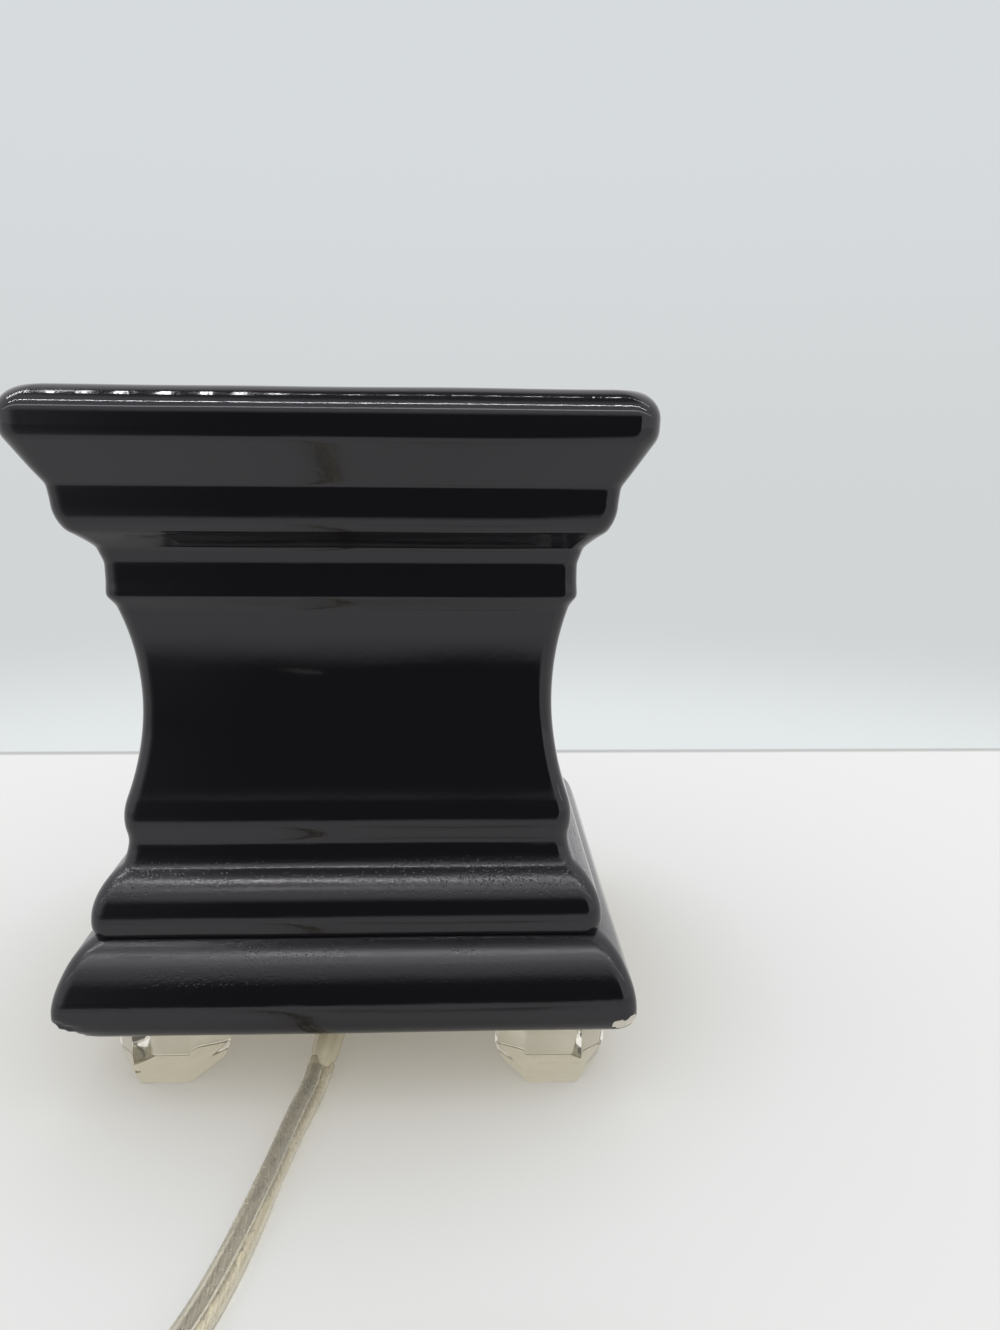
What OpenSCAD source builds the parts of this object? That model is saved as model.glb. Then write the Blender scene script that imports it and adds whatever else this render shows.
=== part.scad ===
// Electric wax warmer: a square moulded ceramic pedestal on four clear feet, with a lift-out
// wax dish on top, a small lamp inside and a flat clear mains lead with a thumbwheel switch.
// Millimetres. +Z is up, the origin lies on the table under the middle of the pedestal, and the
// lead leaves towards -Y.

/* [Feet] */
// Height of each clear foot
foot_h = 16; // [14:0.5:24]
// Width of a hexagonal foot across its corners
foot_w = 23.9; // [16:0.1:30]
// Distance from the side of the base to the middle of a foot
foot_inset = 17.6; // [16:0.1:24]
// Height of the bevelled band at the bottom of a foot
foot_bevel_h = 3; // [1:0.5:6]
// Inset of the bevelled band
foot_bevel = 0.8; // [0.2:0.1:2]
// Thickness of the glue between a foot and the base
glue_t = 0.5; // [0.2:0.1:1]
// Diameter of a spot of glue
glue_d = 15; // [8:0.5:18]

/* [Body] */
// Width of the base over its flared skirt
base_w = 116; // [108:1:140]
// Radius under the skirt
base_edge_r = 6; // [2:0.5:8]
// Height of the flared skirt
skirt_h = 20.5; // [16:0.5:30]
// Width of the large round moulding above the skirt
torus_w = 102.4; // [98:0.2:106]
// Height of the large round moulding
torus_h = 12.2; // [9:0.1:18]
// Narrowest width of the small hollow under the bead
cove_w = 88.8; // [86:0.2:90]
// Height of the small hollow
cove_h = 5.1; // [3:0.1:8]
// Width over the bead
bead_w = 91; // [90:0.2:96]
// Height of the bead
bead_h = 9.1; // [6:0.1:14]
// Narrowest width of the waist
waist_w = 82.8; // [78:0.2:86]
// Height of the waist
waist_h = 38.9; // [30:0.1:60]
// Width of the plain band above the waist
band_w = 90.9; // [89:0.2:96]
// Height of the plain band
band_h = 8.6; // [5:0.1:14]
// Width of the upper round moulding
ovolo_w = 104; // [100:0.2:108]
// Height of the upper round moulding
ovolo_h = 12; // [11:0.1:16]
// Height of the slope under the rim
slope_h = 4.1; // [3:0.1:8]
// Width over the rolled rim
rim_w = 115.8; // [112:0.2:130]
// Height of the rolled rim
rim_h = 13; // [10:0.1:18]
// Radius of the rim's upper roll
rim_r = 6; // [3:0.5:7]
// Width taken off each upright corner
corner_ease = 2.4; // [0.6:0.1:4]
// Wall thickness of the casting
wall_t = 6; // [4:0.5:8]
// Thickness of the casting's floor
floor_t = 5; // [4:0.5:8]

/* [Wax dish] */
// Width of the dish over its flange
dish_w = 95; // [88:0.5:98]
// How far the dish lies below the rim
dish_recess = 5; // [2:0.5:7]
// Thickness of the flange
dish_flange_t = 4; // [3:0.5:6]
// Depth of the dish from its flange to its underside
dish_depth = 22; // [16:0.5:24]
// Wall thickness of the dish
dish_wall = 4; // [3:0.5:5]
// Draw-in of the well between flange and underside
dish_taper = 7; // [3:0.5:8]
// Width of the ledge that carries the flange
dish_ledge = 5; // [3:0.5:7]
// Clearance around the flange
dish_gap = 0.5; // [0.3:0.1:1]
// Clearance around the well below the ledge
well_gap = 1.2; // [0.6:0.1:2]
// Width taken off each corner of the dish
dish_ease = 9; // [4:0.5:14]

/* [Lampholder] */
// Hole in the casting's floor
hole_d = 34; // [33:0.5:38]
// Diameter of the holder's flange
holder_flange_d = 50; // [42:1:60]
// Thickness of the holder's flange
holder_flange_t = 4; // [3:0.5:6]
// Clearance of the spigot in the floor hole
holder_gap = 0.3; // [0.2:0.1:0.6]
// Diameter of the holder's barrel
barrel_d = 27; // [24:0.5:32]
// Height of the barrel above the casting's floor
barrel_h = 28.5; // [26:0.5:32]
// Thickness of the floor under the socket
socket_floor = 7.5; // [6:0.5:10]
// Bore of the screw shell
shell_bore = 17.4; // [17.2:0.1:18.4]
// Wall thickness of the screw shell
shell_t = 0.5; // [0.3:0.1:0.8]
// Height of the screw shell
shell_h = 18; // [14:0.5:19]
// Clearance of the screw shell in the barrel
shell_gap = 0.1; // [0.05:0.05:0.3]
// Height of the sprung centre contact
contact_h = 3; // [2:0.1:4]
// Diameter of the centre contact's rivet
rivet_d = 3; // [2:0.1:4]

/* [Wiring cap] */
// Diameter of the cap under the base
cap_d = 52; // [46:1:56]
// Height of the cap
cap_h = 12.5; // [12:0.1:13]
// Wall thickness of the cap
cap_wall = 2.2; // [1.6:0.1:3]
// Thickness of the cap's floor
cap_floor = 2; // [1.9:0.1:2.2]
// Diameter of the two clamp screws
clamp_d = 3; // [2.5:0.1:3.5]
// Distance between the clamp screws
clamp_span = 25; // [23:0.5:26]
// Diameter of the posts round the clamp screws
post_d = 7; // [6:0.5:8]
// Diameter of a terminal screw
terminal_d = 2.6; // [2:0.1:3]
// Distance between the terminal screws
terminal_span = 12; // [9:0.5:13]
// Clearance round every screw and rivet
screw_gap = 0.05; // [0.02:0.01:0.1]

/* [Bulb] */
// Diameter of the bulb
bulb_d = 35; // [28:0.5:40]
// Overall length of the bulb
bulb_l = 59; // [56:0.5:64]
// Diameter of the screw cap
cap_thread_d = 16.8; // [16:0.1:17]
// Height of the screw cap
cap_thread_h = 14; // [11:0.5:16]
// Height of the black glass insulator
insulator_h = 3.6; // [2:0.1:5]
// Height of the contact tip
tip_h = 1.6; // [1:0.1:2.5]
// Thickness of the bulb's glass
glass_t = 0.8; // [0.5:0.1:1.2]
// Width of the filament's arc
filament_w = 16; // [10:0.5:20]

/* [Lead] */
// Width of the flat twin lead
cord_w = 5.6; // [5:0.1:6]
// Thickness of the flat twin lead
cord_t = 2.8; // [2.4:0.1:3]
// Radius of the strain relief at the wiring cap
bush_r1 = 3.4; // [3.2:0.1:4.2]
// Radius of the strain relief at its free end
bush_r2 = 3; // [2.9:0.1:3.7]
// How far the strain relief lies below the base
bush_drop = 5; // [4.8:0.1:5.4]
// Radius of the coil at the middle of its outer turn
coil_r = 40; // [38:0.5:44]
// Step from turn to turn of the coil
coil_step = 4.2; // [4:0.1:4.5]
// Step from the lower to the upper layer of the coil
coil_rise = 6.2; // [6.1:0.1:7]
// Width of the tie round the coil
tie_w = 5; // [3:0.5:8]
// Thickness of the tie
tie_t = 0.5; // [0.3:0.1:0.6]
// Clearance between the tie and the coil
tie_gap = 0.4; // [0.3:0.1:0.8]

/* [Switch] */
// Length of the switch without its snouts
switch_l = 46; // [40:1:50]
// Width of the switch
switch_w = 22; // [20:0.5:26]
// Height of the switch
switch_h = 14; // [12:0.5:16]
// Wall thickness of the switch shells
switch_wall = 2; // [1.5:0.1:2.5]
// Diameter of the thumbwheel
wheel_d = 17; // [15:0.5:19]
// Thickness of the thumbwheel
wheel_t = 5; // [4:0.5:6]
// How far the thumbwheel stands out of the side
wheel_out = 3; // [2:0.1:4]
// Diameter of the thumbwheel's pin
pin_d = 3; // [2:0.1:4]
// Running clearance between thumbwheel and pin
pin_gap = 0.05; // [0.03:0.01:0.09]
// Running clearance round the thumbwheel
wheel_gap = 0.4; // [0.3:0.1:0.6]
// Number of finger grooves on the thumbwheel
wheel_grooves = 18; // [12:1:24]

/* [Plug] */
// Length of the plug's body
plug_l = 26; // [22:0.5:32]
// Width of the plug's body
plug_w = 21; // [19:0.5:26]
// Thickness of the plug's body
plug_t = 11; // [9:0.5:13]
// Length of the plug's strain relief
plug_tail_l = 14; // [10:0.5:20]
// Length of a blade
blade_l = 17.5; // [15:0.5:18]
// Width of the narrow blade
blade_w = 6.3; // [6:0.1:6.6]
// Width of the wide blade
blade_wide_w = 7.9; // [7.7:0.1:8]
// Thickness of a blade
blade_t = 1.5; // [1.4:0.1:1.6]
// Distance between the blades
blade_span = 12.7; // [12.5:0.1:13]

/* [Hidden] */
$fn = 64;
// How far every cut runs past the face that it opens
over = 1;

// Levels of the pedestal, from the table up
z_base = foot_h + glue_t;
z_floor = z_base + floor_t;
z_skirt = z_base + skirt_h;
z_torus = z_skirt + torus_h;
z_cove = z_torus + cove_h;
z_bead = z_cove + bead_h;
z_waist = z_bead + waist_h;
z_band = z_waist + band_h;
z_ovolo = z_band + ovolo_h;
z_slope = z_ovolo + slope_h;
z_top = z_slope + rim_h;

// Small steps and roundings that part one moulding from the next
nook = 0.4;
nook_h = 1.2;
torus_bow = 1.85;
torus_top_in = 1.6;
cove_bow = 0.8;
bead_end_in = 1.2;
flare_in = 1.4;
flare_h = 2;
band_bow = 0.3;
ovolo_bow = 2.1;
ovolo_round_h = 8.7;
skirt_bow = 1.9;
rim_under = 3;
rim_under_bow = 0.78;
// Rise of a quarter circle over its chord, as a share of its radius
quarter = 1 - cos(45);

// Levels and half-widths of the dish and its seat
z_ledge = z_top - dish_recess - dish_flange_t;
z_dish_top = z_ledge + dish_flange_t;
z_dish = z_dish_top - dish_depth;
seat_half = dish_w / 2 + dish_gap;
neck_half = seat_half - dish_ledge;
well_half = neck_half - well_gap;
dish_edge_r = 1.6;
well_r = 5;

// Levels of the lamp
z_cap = z_base - cap_h;
z_socket = z_floor + socket_floor;
shell_d = shell_bore + 2 * shell_t;
shell_foot_d = 12;
contact_d = 8;
contact_t = 0.6;
bulb_gap = 0.05;
z_bulb = z_socket + contact_h + bulb_gap;
z_insulator = z_bulb + tip_h;
z_thread = z_insulator + insulator_h;
z_neck = z_thread + cap_thread_h;
thread_t = 0.4;
neck_gap = 0.3;
neck_r = cap_thread_d / 2 - thread_t - neck_gap;
neck_in_cap = 6;
neck_bow = 1.2;
insulator_d = 9.2;
tip_d = 7;
tip_low_d = 4.7;
bulb_r = bulb_d / 2;
z_bulb_mid = z_bulb + bulb_l - bulb_r;
shoulder = 40;
dome_steps = 16;
stem_r = 3;
stem_flare = 1;
stem_h = 14;
stem_disc_t = 1;
wire_r = 0.3;
wire_root = 1.6;
filament_drop = 2;
z_stem = z_neck - neck_in_cap;
z_filament = z_bulb_mid - filament_drop;

// Screws: their heads, how deep they go and the room past their ends
head_ratio = 1.8;
head_t = 1.6;
screw_room = 0.5;
clamp_roof = 1;
clamp_deep = holder_flange_t - clamp_roof;
terminal_deep = 4;
terminal_y = 8;
// Wires between the strain relief and the terminals
wire_d = 1.6;
wire_part = 1.6;
wire_lead = 4;
wire_gap = 0.1;
wire_low = 4.7;
wire_high = 3.5;

// Strain relief: it leaves the cap straight towards its free end
bush_end = [-6.5, -47, 3.8];
bush_z = z_base - bush_drop;
bush_in = 5;
bush_collar = 0.7;
bush_collar_r = bush_r1 + bush_collar;
bush_collar_t = 1.5;
bush_far = norm([bush_end[0], bush_end[1]]);
bush_near = cap_d / 2 - cap_wall - bush_in;
bush_turn = atan2(bush_end[1], bush_end[0]);
bush_tilt = atan2(bush_z - bush_end[2], bush_far - bush_near);
bush_l = norm([bush_far - bush_near, bush_z - bush_end[2]]);
bush_way = [cos(bush_turn) * cos(bush_tilt), sin(bush_turn) * cos(bush_tilt), -sin(bush_tilt)];

// Places of the switch, the coil and the plug on the table
switch_at = [0, -221];
snout_l = 6;
snout_w = 9;
snout_h = 7;
snout_root = 1;
coil_at = [20, -166];
coil_turns = 3.25;
coil_climb = 0.2;
coil_straight = 6;
coil_rings = 24;
coil_z = tie_t + tie_gap + cord_w / 2;
coil_top = coil_z + coil_rise + cord_w / 2;
coil_in = coil_r - coil_turns * coil_step;
tie_turn = 60;
plug_at = [22, -198];
plug_rest = 0.1;
plug_z = coil_top + plug_rest + plug_t / 2;
plug_tail_w = 8;
plug_tail_t = 6;
plug_waist = 2;
plug_nose = 1;
plug_grip_l = 16;
plug_slope_l = 2;
blade_hole_d = 3;
blade_hole_in = 4;
// Inside of the switch
wheel_y = -(switch_w / 2 + wheel_out - wheel_d / 2);
groove_r = 0.7;
groove_out = 0.25;
switch_corner = 4;
switch_screw_d = 2.5;
switch_screw_in = 7;
switch_screw_x = switch_l / 2 - switch_screw_in;
contact_wall = 2;
contact_x1 = -switch_l / 2 + switch_wall + contact_wall;
contact_x2 = switch_screw_x - switch_screw_d / 2 - contact_wall;
contact_y1 = -2;
strip_t = 0.5;
strip_h = 4;
strip_gap = 0.2;
strip_part = 4;

// Routes of the lead's free stretches: x, y, z and the turn of its flat side about its own line
lead_route = [
    [-6.5, -47, 3.8, 0], [-7.3, -52.5, 2.5, 10], [-8.3, -58.5, 2.5, 30], [-9.7, -67, 2.8, 60],
    [-11.4, -79, 2.9, 65], [-13.3, -91, 2.6, 40], [-15.5, -102, 2.2, 20], [-18.2, -112, 2.2, 20],
    [-23, -125, 2.6, 40], [-30.5, -138, 2.9, 70], [-39.5, -151, 3, 85], [-48, -164, 3, 85],
    [-54.5, -178, 3, 80], [-57, -192, 3, 80], [-53.6, -205.5, 3.2, 75], [-46, -215.6, 4.5, 45],
    [-37, -220.5, 6.6, 12], [-29, -221, 7, 0]
];
feed_route = [
    [29, -221, 7, 0], [37, -220.5, 6.6, 20], [46, -216.6, 4.8, 50], [53, -209, 3.9, 80],
    [57.5, -198.5, 3.7, 90], [59.6, -186, 3.7, 90], [60, -178, 3.7, 90], [60, -172, 3.7, 90]
];
tail_route = [
    [-20, -172, 9.9, 90], [-19.8, -177, 10.4, 90], [-18.3, -183, 13.2, 90], [-14.5, -189, 16.4, 85],
    [-8.5, -194.2, 17.9, 65], [-1, -197.3, 18.3, 25], [8, -198, 18.3, 0]
];

// Points of a circular arc from p to q that swells by s to the right of the way, without p itself
function bow(p, q, s, n) =
    let (
        way = q - p,
        chord = norm(way),
        u = way / chord,
        v = [u[1], -u[0]] * sign(s),
        rise = abs(s),
        r = (chord * chord / 4 + rise * rise) / (2 * rise),
        reach = 2 * atan(2 * rise / chord),
        c = (p + q) / 2 + v * (rise - r)
    )
    [for (i = [1:n]) let (t = reach * (2 * i / n - 1)) c + r * (sin(t) * u + cos(t) * v)];

// Outer outline of the pedestal: half-width against height, from its underside to its top
body_points = [
    [base_w / 2 - base_edge_r, z_base],
    [base_w / 2, z_base + base_edge_r],
    [torus_w / 2 - nook, z_skirt],
    [torus_w / 2, z_skirt + nook_h],
    [cove_w / 2 + torus_top_in, z_torus],
    [cove_w / 2 + nook, z_cove],
    [bead_w / 2 - bead_end_in, z_bead],
    [band_w / 2 - flare_in, z_waist - flare_h],
    [band_w / 2, z_waist],
    [band_w / 2, z_band],
    [ovolo_w / 2 - nook, z_band + ovolo_round_h],
    [ovolo_w / 2, z_ovolo],
    [rim_w / 2 - rim_under, z_slope],
    [rim_w / 2, z_top - rim_r],
    [rim_w / 2 - rim_r, z_top]
];
function mean_half(i) = (body_points[i][0] + body_points[i + 1][0]) / 2;
body_bows = [
    base_edge_r * quarter, skirt_bow, 0, torus_bow, -cove_bow, bead_w / 2 - mean_half(5),
    waist_w / 2 - mean_half(6), 0, -band_bow, ovolo_bow, 0, 0, rim_under_bow, rim_r * quarter
];
body_steps = [5, 7, 1, 6, 4, 6, 10, 1, 3, 6, 1, 1, 4, 6];
body_outline = [
    body_points[0],
    for (i = [0:len(body_bows) - 1])
        let (p = body_points[i], q = body_points[i + 1])
        for (point = body_bows[i] == 0 ? [q] : bow(p, q, body_bows[i], body_steps[i])) point
];

// Inner outline: the lamp chamber, the neck and the seat of the dish
chamber_outline = [
    [base_w / 2 - wall_t, z_floor],
    [torus_w / 2 - wall_t, z_skirt],
    [waist_w / 2 - wall_t, z_cove],
    [waist_w / 2 - wall_t, z_band],
    [neck_half, z_band + ovolo_round_h],
    [neck_half, z_ledge],
    [seat_half, z_ledge],
    [seat_half, z_top + 1]
];

dish_outline = [
    [well_half - dish_taper - well_r, z_dish],
    each bow([well_half - dish_taper - well_r, z_dish], [well_half - dish_taper, z_dish + well_r],
        well_r * quarter, 5),
    [well_half, z_ledge],
    [dish_w / 2, z_ledge],
    [dish_w / 2, z_dish_top - dish_edge_r],
    each bow([dish_w / 2, z_dish_top - dish_edge_r], [dish_w / 2 - dish_edge_r, z_dish_top],
        dish_edge_r * quarter, 4)
];
well_outline = [
    [well_half - dish_taper - dish_wall - well_r, z_dish + dish_wall],
    each bow([well_half - dish_taper - dish_wall - well_r, z_dish + dish_wall],
        [well_half - dish_taper - dish_wall, z_dish + dish_wall + well_r], well_r * quarter, 5),
    [well_half - dish_wall, z_dish_top],
    [well_half - dish_wall, z_dish_top + 1]
];

// An outline of half-width against height, drawn out straight along Y
module drawn(outline) {
    far = 2 * max([for (p = outline) p[0]]);
    left = [for (i = [len(outline) - 1:-1:0]) [-outline[i][0], outline[i][1]]];
    rotate([90, 0, 0])
        linear_extrude(2 * far, center = true)
            polygon(concat(outline, left));
}

// A square form with the same outline on its four sides, mitred, with its corners eased
module squared(outline, ease) {
    eased = [for (p = outline) [(2 * p[0] - ease) / sqrt(2), p[1]]];
    intersection() {
        drawn(outline);
        rotate(90) drawn(outline);
        rotate(45) drawn(eased);
        rotate(-45) drawn(eased);
    }
}

// Sections of the lead: flat with eight sides, and with six sides in the coil
flat_section = [for (side = [1, -1]) each [
    [side * cord_w / 2, -side * cord_t / 4], [side * cord_w / 2, side * cord_t / 4],
    [side * (cord_w / 2 - cord_t / 4), side * cord_t / 2],
    [-side * (cord_w / 2 - cord_t / 4), side * cord_t / 2]
]];
coil_section = [for (side = [1, -1]) each [
    [side * cord_w / 2, 0], [side * (cord_w - cord_t) / 2, side * cord_t / 2],
    [-side * (cord_w - cord_t) / 2, side * cord_t / 2]
]];
function round_section(d, n) = [for (i = [0:n - 1]) d / 2 * [cos(360 * i / n), sin(360 * i / n)]];

function unit(v) = v / norm(v);
function spot(p) = [p[0], p[1], p[2]];

// The way of a route at point i: its two neighbours' line, or the given way at its ends
function way_at(route, i, first, last) =
    i == 0 ? unit(first)
    : i == len(route) - 1 ? unit(last)
    : unit(spot(route[i + 1]) - spot(route[i - 1]));

// One ring of a tube: the section square to the way, turned about it
function ring(point, way, section) =
    let (
        side = unit(cross(way, [0, 0, 1])),
        up = cross(side, way),
        c = cos(point[3]),
        s = sin(point[3])
    )
    [for (q = section) spot(point) + side * (q[0] * c - q[1] * s) + up * (q[0] * s + q[1] * c)];

// A closed tube through a list of rings
module tube(rings) {
    n = len(rings[0]);
    m = len(rings);
    polyhedron(
        points = [for (r = rings) each r],
        faces = concat(
            [[for (k = [0:n - 1]) k]],
            [for (i = [0:m - 2], k = [0:n - 1]) let (l = (k + 1) % n) each [
                [i * n + k, (i + 1) * n + k, (i + 1) * n + l],
                [i * n + k, (i + 1) * n + l, i * n + l]
            ]],
            [[for (k = [n - 1:-1:0]) (m - 1) * n + k]]
        )
    );
}

module cord(route, first, last, section) {
    tube([for (i = [0:len(route) - 1]) ring(route[i], way_at(route, i, first, last), section)]);
}

function route_length(route) =
    len(route) < 2 ? 0
    : norm(spot(route[1]) - spot(route[0]))
        + route_length([for (i = [1:len(route) - 1]) route[i]]);

// Feet: hexagons with a flat towards the front, and a bevelled band at the bottom
foot_out = base_w / 2 - foot_inset;
module foot(sx, sy) {
    half = foot_w / 2 * cos(30);
    outline = [[half - foot_bevel, 0], [half, foot_bevel_h], [half, foot_h]];
    translate([sx * foot_out, sy * foot_out, 0])
        intersection() {
            rotate(30) drawn(outline);
            rotate(90) drawn(outline);
            rotate(150) drawn(outline);
        }
}
module foot_front_left() { color("#d9d6c8") foot(-1, -1); }
module foot_front_right() { color("#d9d6c8") foot(1, -1); }
module foot_rear_left() { color("#d9d6c8") foot(-1, 1); }
module foot_rear_right() { color("#d9d6c8") foot(1, 1); }
module foot_glue() {
    color("#cdbf86")
        for (sx = [-1, 1], sy = [-1, 1])
            translate([sx * foot_out, sy * foot_out, foot_h])
                cylinder(h = glue_t, d = glue_d);
}

// Pedestal and dish
module ceramic_body() {
    color("#141217")
        difference() {
            squared(body_outline, corner_ease);
            squared(chamber_outline, dish_ease);
            translate([0, 0, z_base - over]) cylinder(h = floor_t + 2 * over, d = hole_d);
        }
}
module wax_dish() {
    color("#1a181d")
        difference() {
            squared(dish_outline, dish_ease);
            squared(well_outline, dish_ease);
        }
}

// Lampholder, clamped to the casting's floor
module at_clamps() { for (s = [-1, 1]) translate([s * clamp_span / 2, 0, 0]) children(); }
module at_terminals() { for (s = [-1, 1]) translate([s * terminal_span / 2, terminal_y, 0]) children(); }
module lampholder() {
    color("#2a2624")
        difference() {
            union() {
                translate([0, 0, z_floor]) cylinder(h = holder_flange_t, d = holder_flange_d);
                translate([0, 0, z_base]) cylinder(h = floor_t, d = hole_d - 2 * holder_gap);
                translate([0, 0, z_floor]) cylinder(h = barrel_h, d = barrel_d);
            }
            translate([0, 0, z_socket]) cylinder(h = barrel_h, d = shell_d + 2 * shell_gap);
            translate([0, 0, z_base - over])
                cylinder(h = floor_t + socket_floor + 2 * over, d = rivet_d + 2 * screw_gap);
            at_clamps()
                translate([0, 0, z_base - over])
                    cylinder(h = over + floor_t + clamp_deep, d = clamp_d + 2 * screw_gap);
            at_terminals()
                translate([0, 0, z_base - over])
                    cylinder(h = over + terminal_deep, d = terminal_d + 2 * screw_gap);
        }
}
module screw_shell() {
    color("#c9c6bd")
        translate([0, 0, z_socket])
            difference() {
                cylinder(h = shell_h, d = shell_d);
                translate([0, 0, shell_t]) cylinder(h = shell_h, d = shell_bore);
                translate([0, 0, -over]) cylinder(h = shell_h, d = shell_foot_d);
            }
}
module centre_contact() {
    tongue_w = 4;
    tongue_flat = 2;
    tongue = [
        [-contact_d / 2, contact_t], [-contact_d / 2 + contact_t, contact_t],
        [contact_d / 2 - tongue_flat, contact_h - contact_t], [contact_d / 2, contact_h - contact_t],
        [contact_d / 2, contact_h], [0, contact_h]
    ];
    color("#c8a552")
        translate([0, 0, z_socket]) {
            cylinder(h = contact_t, d = contact_d);
            translate([0, 0, z_base - z_socket]) cylinder(h = z_socket - z_base, d = rivet_d);
            rotate([90, 0, 0]) linear_extrude(tongue_w, center = true) polygon(tongue);
        }
}
module screw(d, shank) {
    cylinder(h = shank, d = d);
    translate([0, 0, -head_t]) cylinder(h = head_t, d = d * head_ratio);
}
module terminal_screws() {
    color("#c8a552")
        at_terminals() translate([0, 0, z_base]) screw(terminal_d, terminal_deep - screw_room);
}
module clamp_screws() {
    color("#b5b5b2")
        at_clamps()
            translate([0, 0, z_cap + head_t])
                screw(clamp_d, cap_h - head_t + floor_t + clamp_deep - screw_room);
}

// Wiring cap under the base, with the strain relief in its wall
module along_bush() {
    rotate([0, 0, bush_turn])
        translate([bush_near, 0, bush_z])
            rotate([0, 90 + bush_tilt, 0])
                children();
}
module wiring_cap() {
    color("#232124")
        difference() {
            union() {
                difference() {
                    translate([0, 0, z_cap]) cylinder(h = cap_h, d = cap_d);
                    translate([0, 0, z_cap + cap_floor]) cylinder(h = cap_h, d = cap_d - 2 * cap_wall);
                }
                at_clamps() translate([0, 0, z_cap]) cylinder(h = cap_h, d = post_d);
            }
            at_clamps() {
                translate([0, 0, z_cap - over]) cylinder(h = cap_h + 2 * over, d = clamp_d + 2 * screw_gap);
                translate([0, 0, z_cap - over])
                    cylinder(h = head_t + over, d = clamp_d * head_ratio + 2 * screw_gap);
            }
            along_bush() cylinder(h = bush_l, r = bush_r1 + screw_gap);
            along_bush() cylinder(h = bush_collar_t + screw_gap, r = bush_collar_r + screw_gap);
        }
}
module cord_bush() {
    color("#d8d2b4")
        along_bush() {
            cylinder(h = bush_l, r1 = bush_r1, r2 = bush_r2);
            cylinder(h = bush_collar_t, r = bush_collar_r);
        }
}
module lead_wires() {
    start = [bush_near * cos(bush_turn), bush_near * sin(bush_turn), bush_z];
    aside = [-sin(bush_turn), cos(bush_turn), 0];
    for (s = [-1, 1]) {
        from = start + s * wire_part * aside;
        inner = from - wire_lead * bush_way;
        route = [
            [from[0], from[1], from[2], 0],
            [inner[0], inner[1], inner[2], 0],
            [s * 4.5, -8, z_base - wire_low, 0],
            [s * 5.6, -2, z_base - wire_high, 0],
            [s * terminal_span / 2, terminal_y - terminal_d * head_ratio / 2 - wire_gap,
                z_base - wire_d / 2 - wire_gap, 0]
        ];
        color(s < 0 ? "#8a8f92" : "#b9793f")
            cord(route, -bush_way, [0, 1, 0], round_section(wire_d, 8));
    }
}

// Bulb
module bulb_glass() {
    shoulder_p = [bulb_r * cos(shoulder), z_bulb_mid - bulb_r * sin(shoulder)];
    neck_p = [neck_r, z_neck];
    dome = [for (i = [0:dome_steps]) let (a = -shoulder + (90 + shoulder) * i / dome_steps)
        [bulb_r * cos(a), z_bulb_mid + bulb_r * sin(a)]];
    inner_dome = [for (i = [dome_steps:-1:0])
        let (a = -shoulder + (90 + shoulder) * i / dome_steps, r = bulb_r - glass_t)
        [r * cos(a), z_bulb_mid + r * sin(a)]];
    neck_curve = bow(neck_p, shoulder_p, -neck_bow, 5);
    outside = concat([[neck_r, z_stem], neck_p], [for (i = [0:3]) neck_curve[i]], dome);
    inside = concat(inner_dome,
        [for (i = [3:-1:0]) neck_curve[i] - [glass_t, 0]],
        [[neck_r - glass_t, z_neck], [neck_r - glass_t, z_stem]]);
    color("#e8ecee") rotate_extrude() polygon(concat(outside, inside));
}
module bulb_cap() {
    color("#c3bfb2")
        translate([0, 0, z_thread])
            difference() {
                cylinder(h = cap_thread_h, d = cap_thread_d);
                translate([0, 0, thread_t]) cylinder(h = cap_thread_h, d = cap_thread_d - 2 * thread_t);
            }
}
module bulb_insulator() {
    color("#1b1a1c")
        translate([0, 0, z_insulator])
            cylinder(h = insulator_h, d1 = insulator_d, d2 = cap_thread_d - 2 * thread_t);
}
module bulb_tip() {
    color("#a9a7a0")
        translate([0, 0, z_bulb]) cylinder(h = tip_h, d1 = tip_low_d, d2 = tip_d);
}
module bulb_stem() {
    color("#dfe4e6")
        translate([0, 0, z_stem]) {
            cylinder(h = stem_disc_t, r = neck_r - glass_t);
            cylinder(h = stem_h, r1 = stem_r + stem_flare, r2 = stem_r);
        }
}
module bulb_leads() {
    root_z = z_stem + stem_h + wire_r;
    way = [filament_w / 2 - wire_root, z_filament - root_z];
    color("#b9b4a6")
        for (s = [-1, 1])
            translate([s * wire_root, 0, root_z])
                rotate([0, s * atan2(way[0], way[1]), 0])
                    cylinder(h = norm(way), r = wire_r);
}
module bulb_filament() {
    arc_r = filament_w / 2;
    color("#6e6a63")
        translate([0, 0, z_filament + wire_r])
            rotate([90, 0, 0])
                rotate_extrude(angle = 180) translate([arc_r, 0]) circle(r = wire_r);
}

// Free stretches of the lead, its coil and the tie
module cord_lead() { color("#c9c5b2") cord(lead_route, bush_way, [1, 0, 0], flat_section); }
module cord_feed() { color("#c9c5b2") cord(feed_route, [1, 0, 0], [0, 1, 0], flat_section); }
module cord_tail() { color("#c9c5b2") cord(tail_route, [0, -1, 0], [1, 0, 0], flat_section); }

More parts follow.
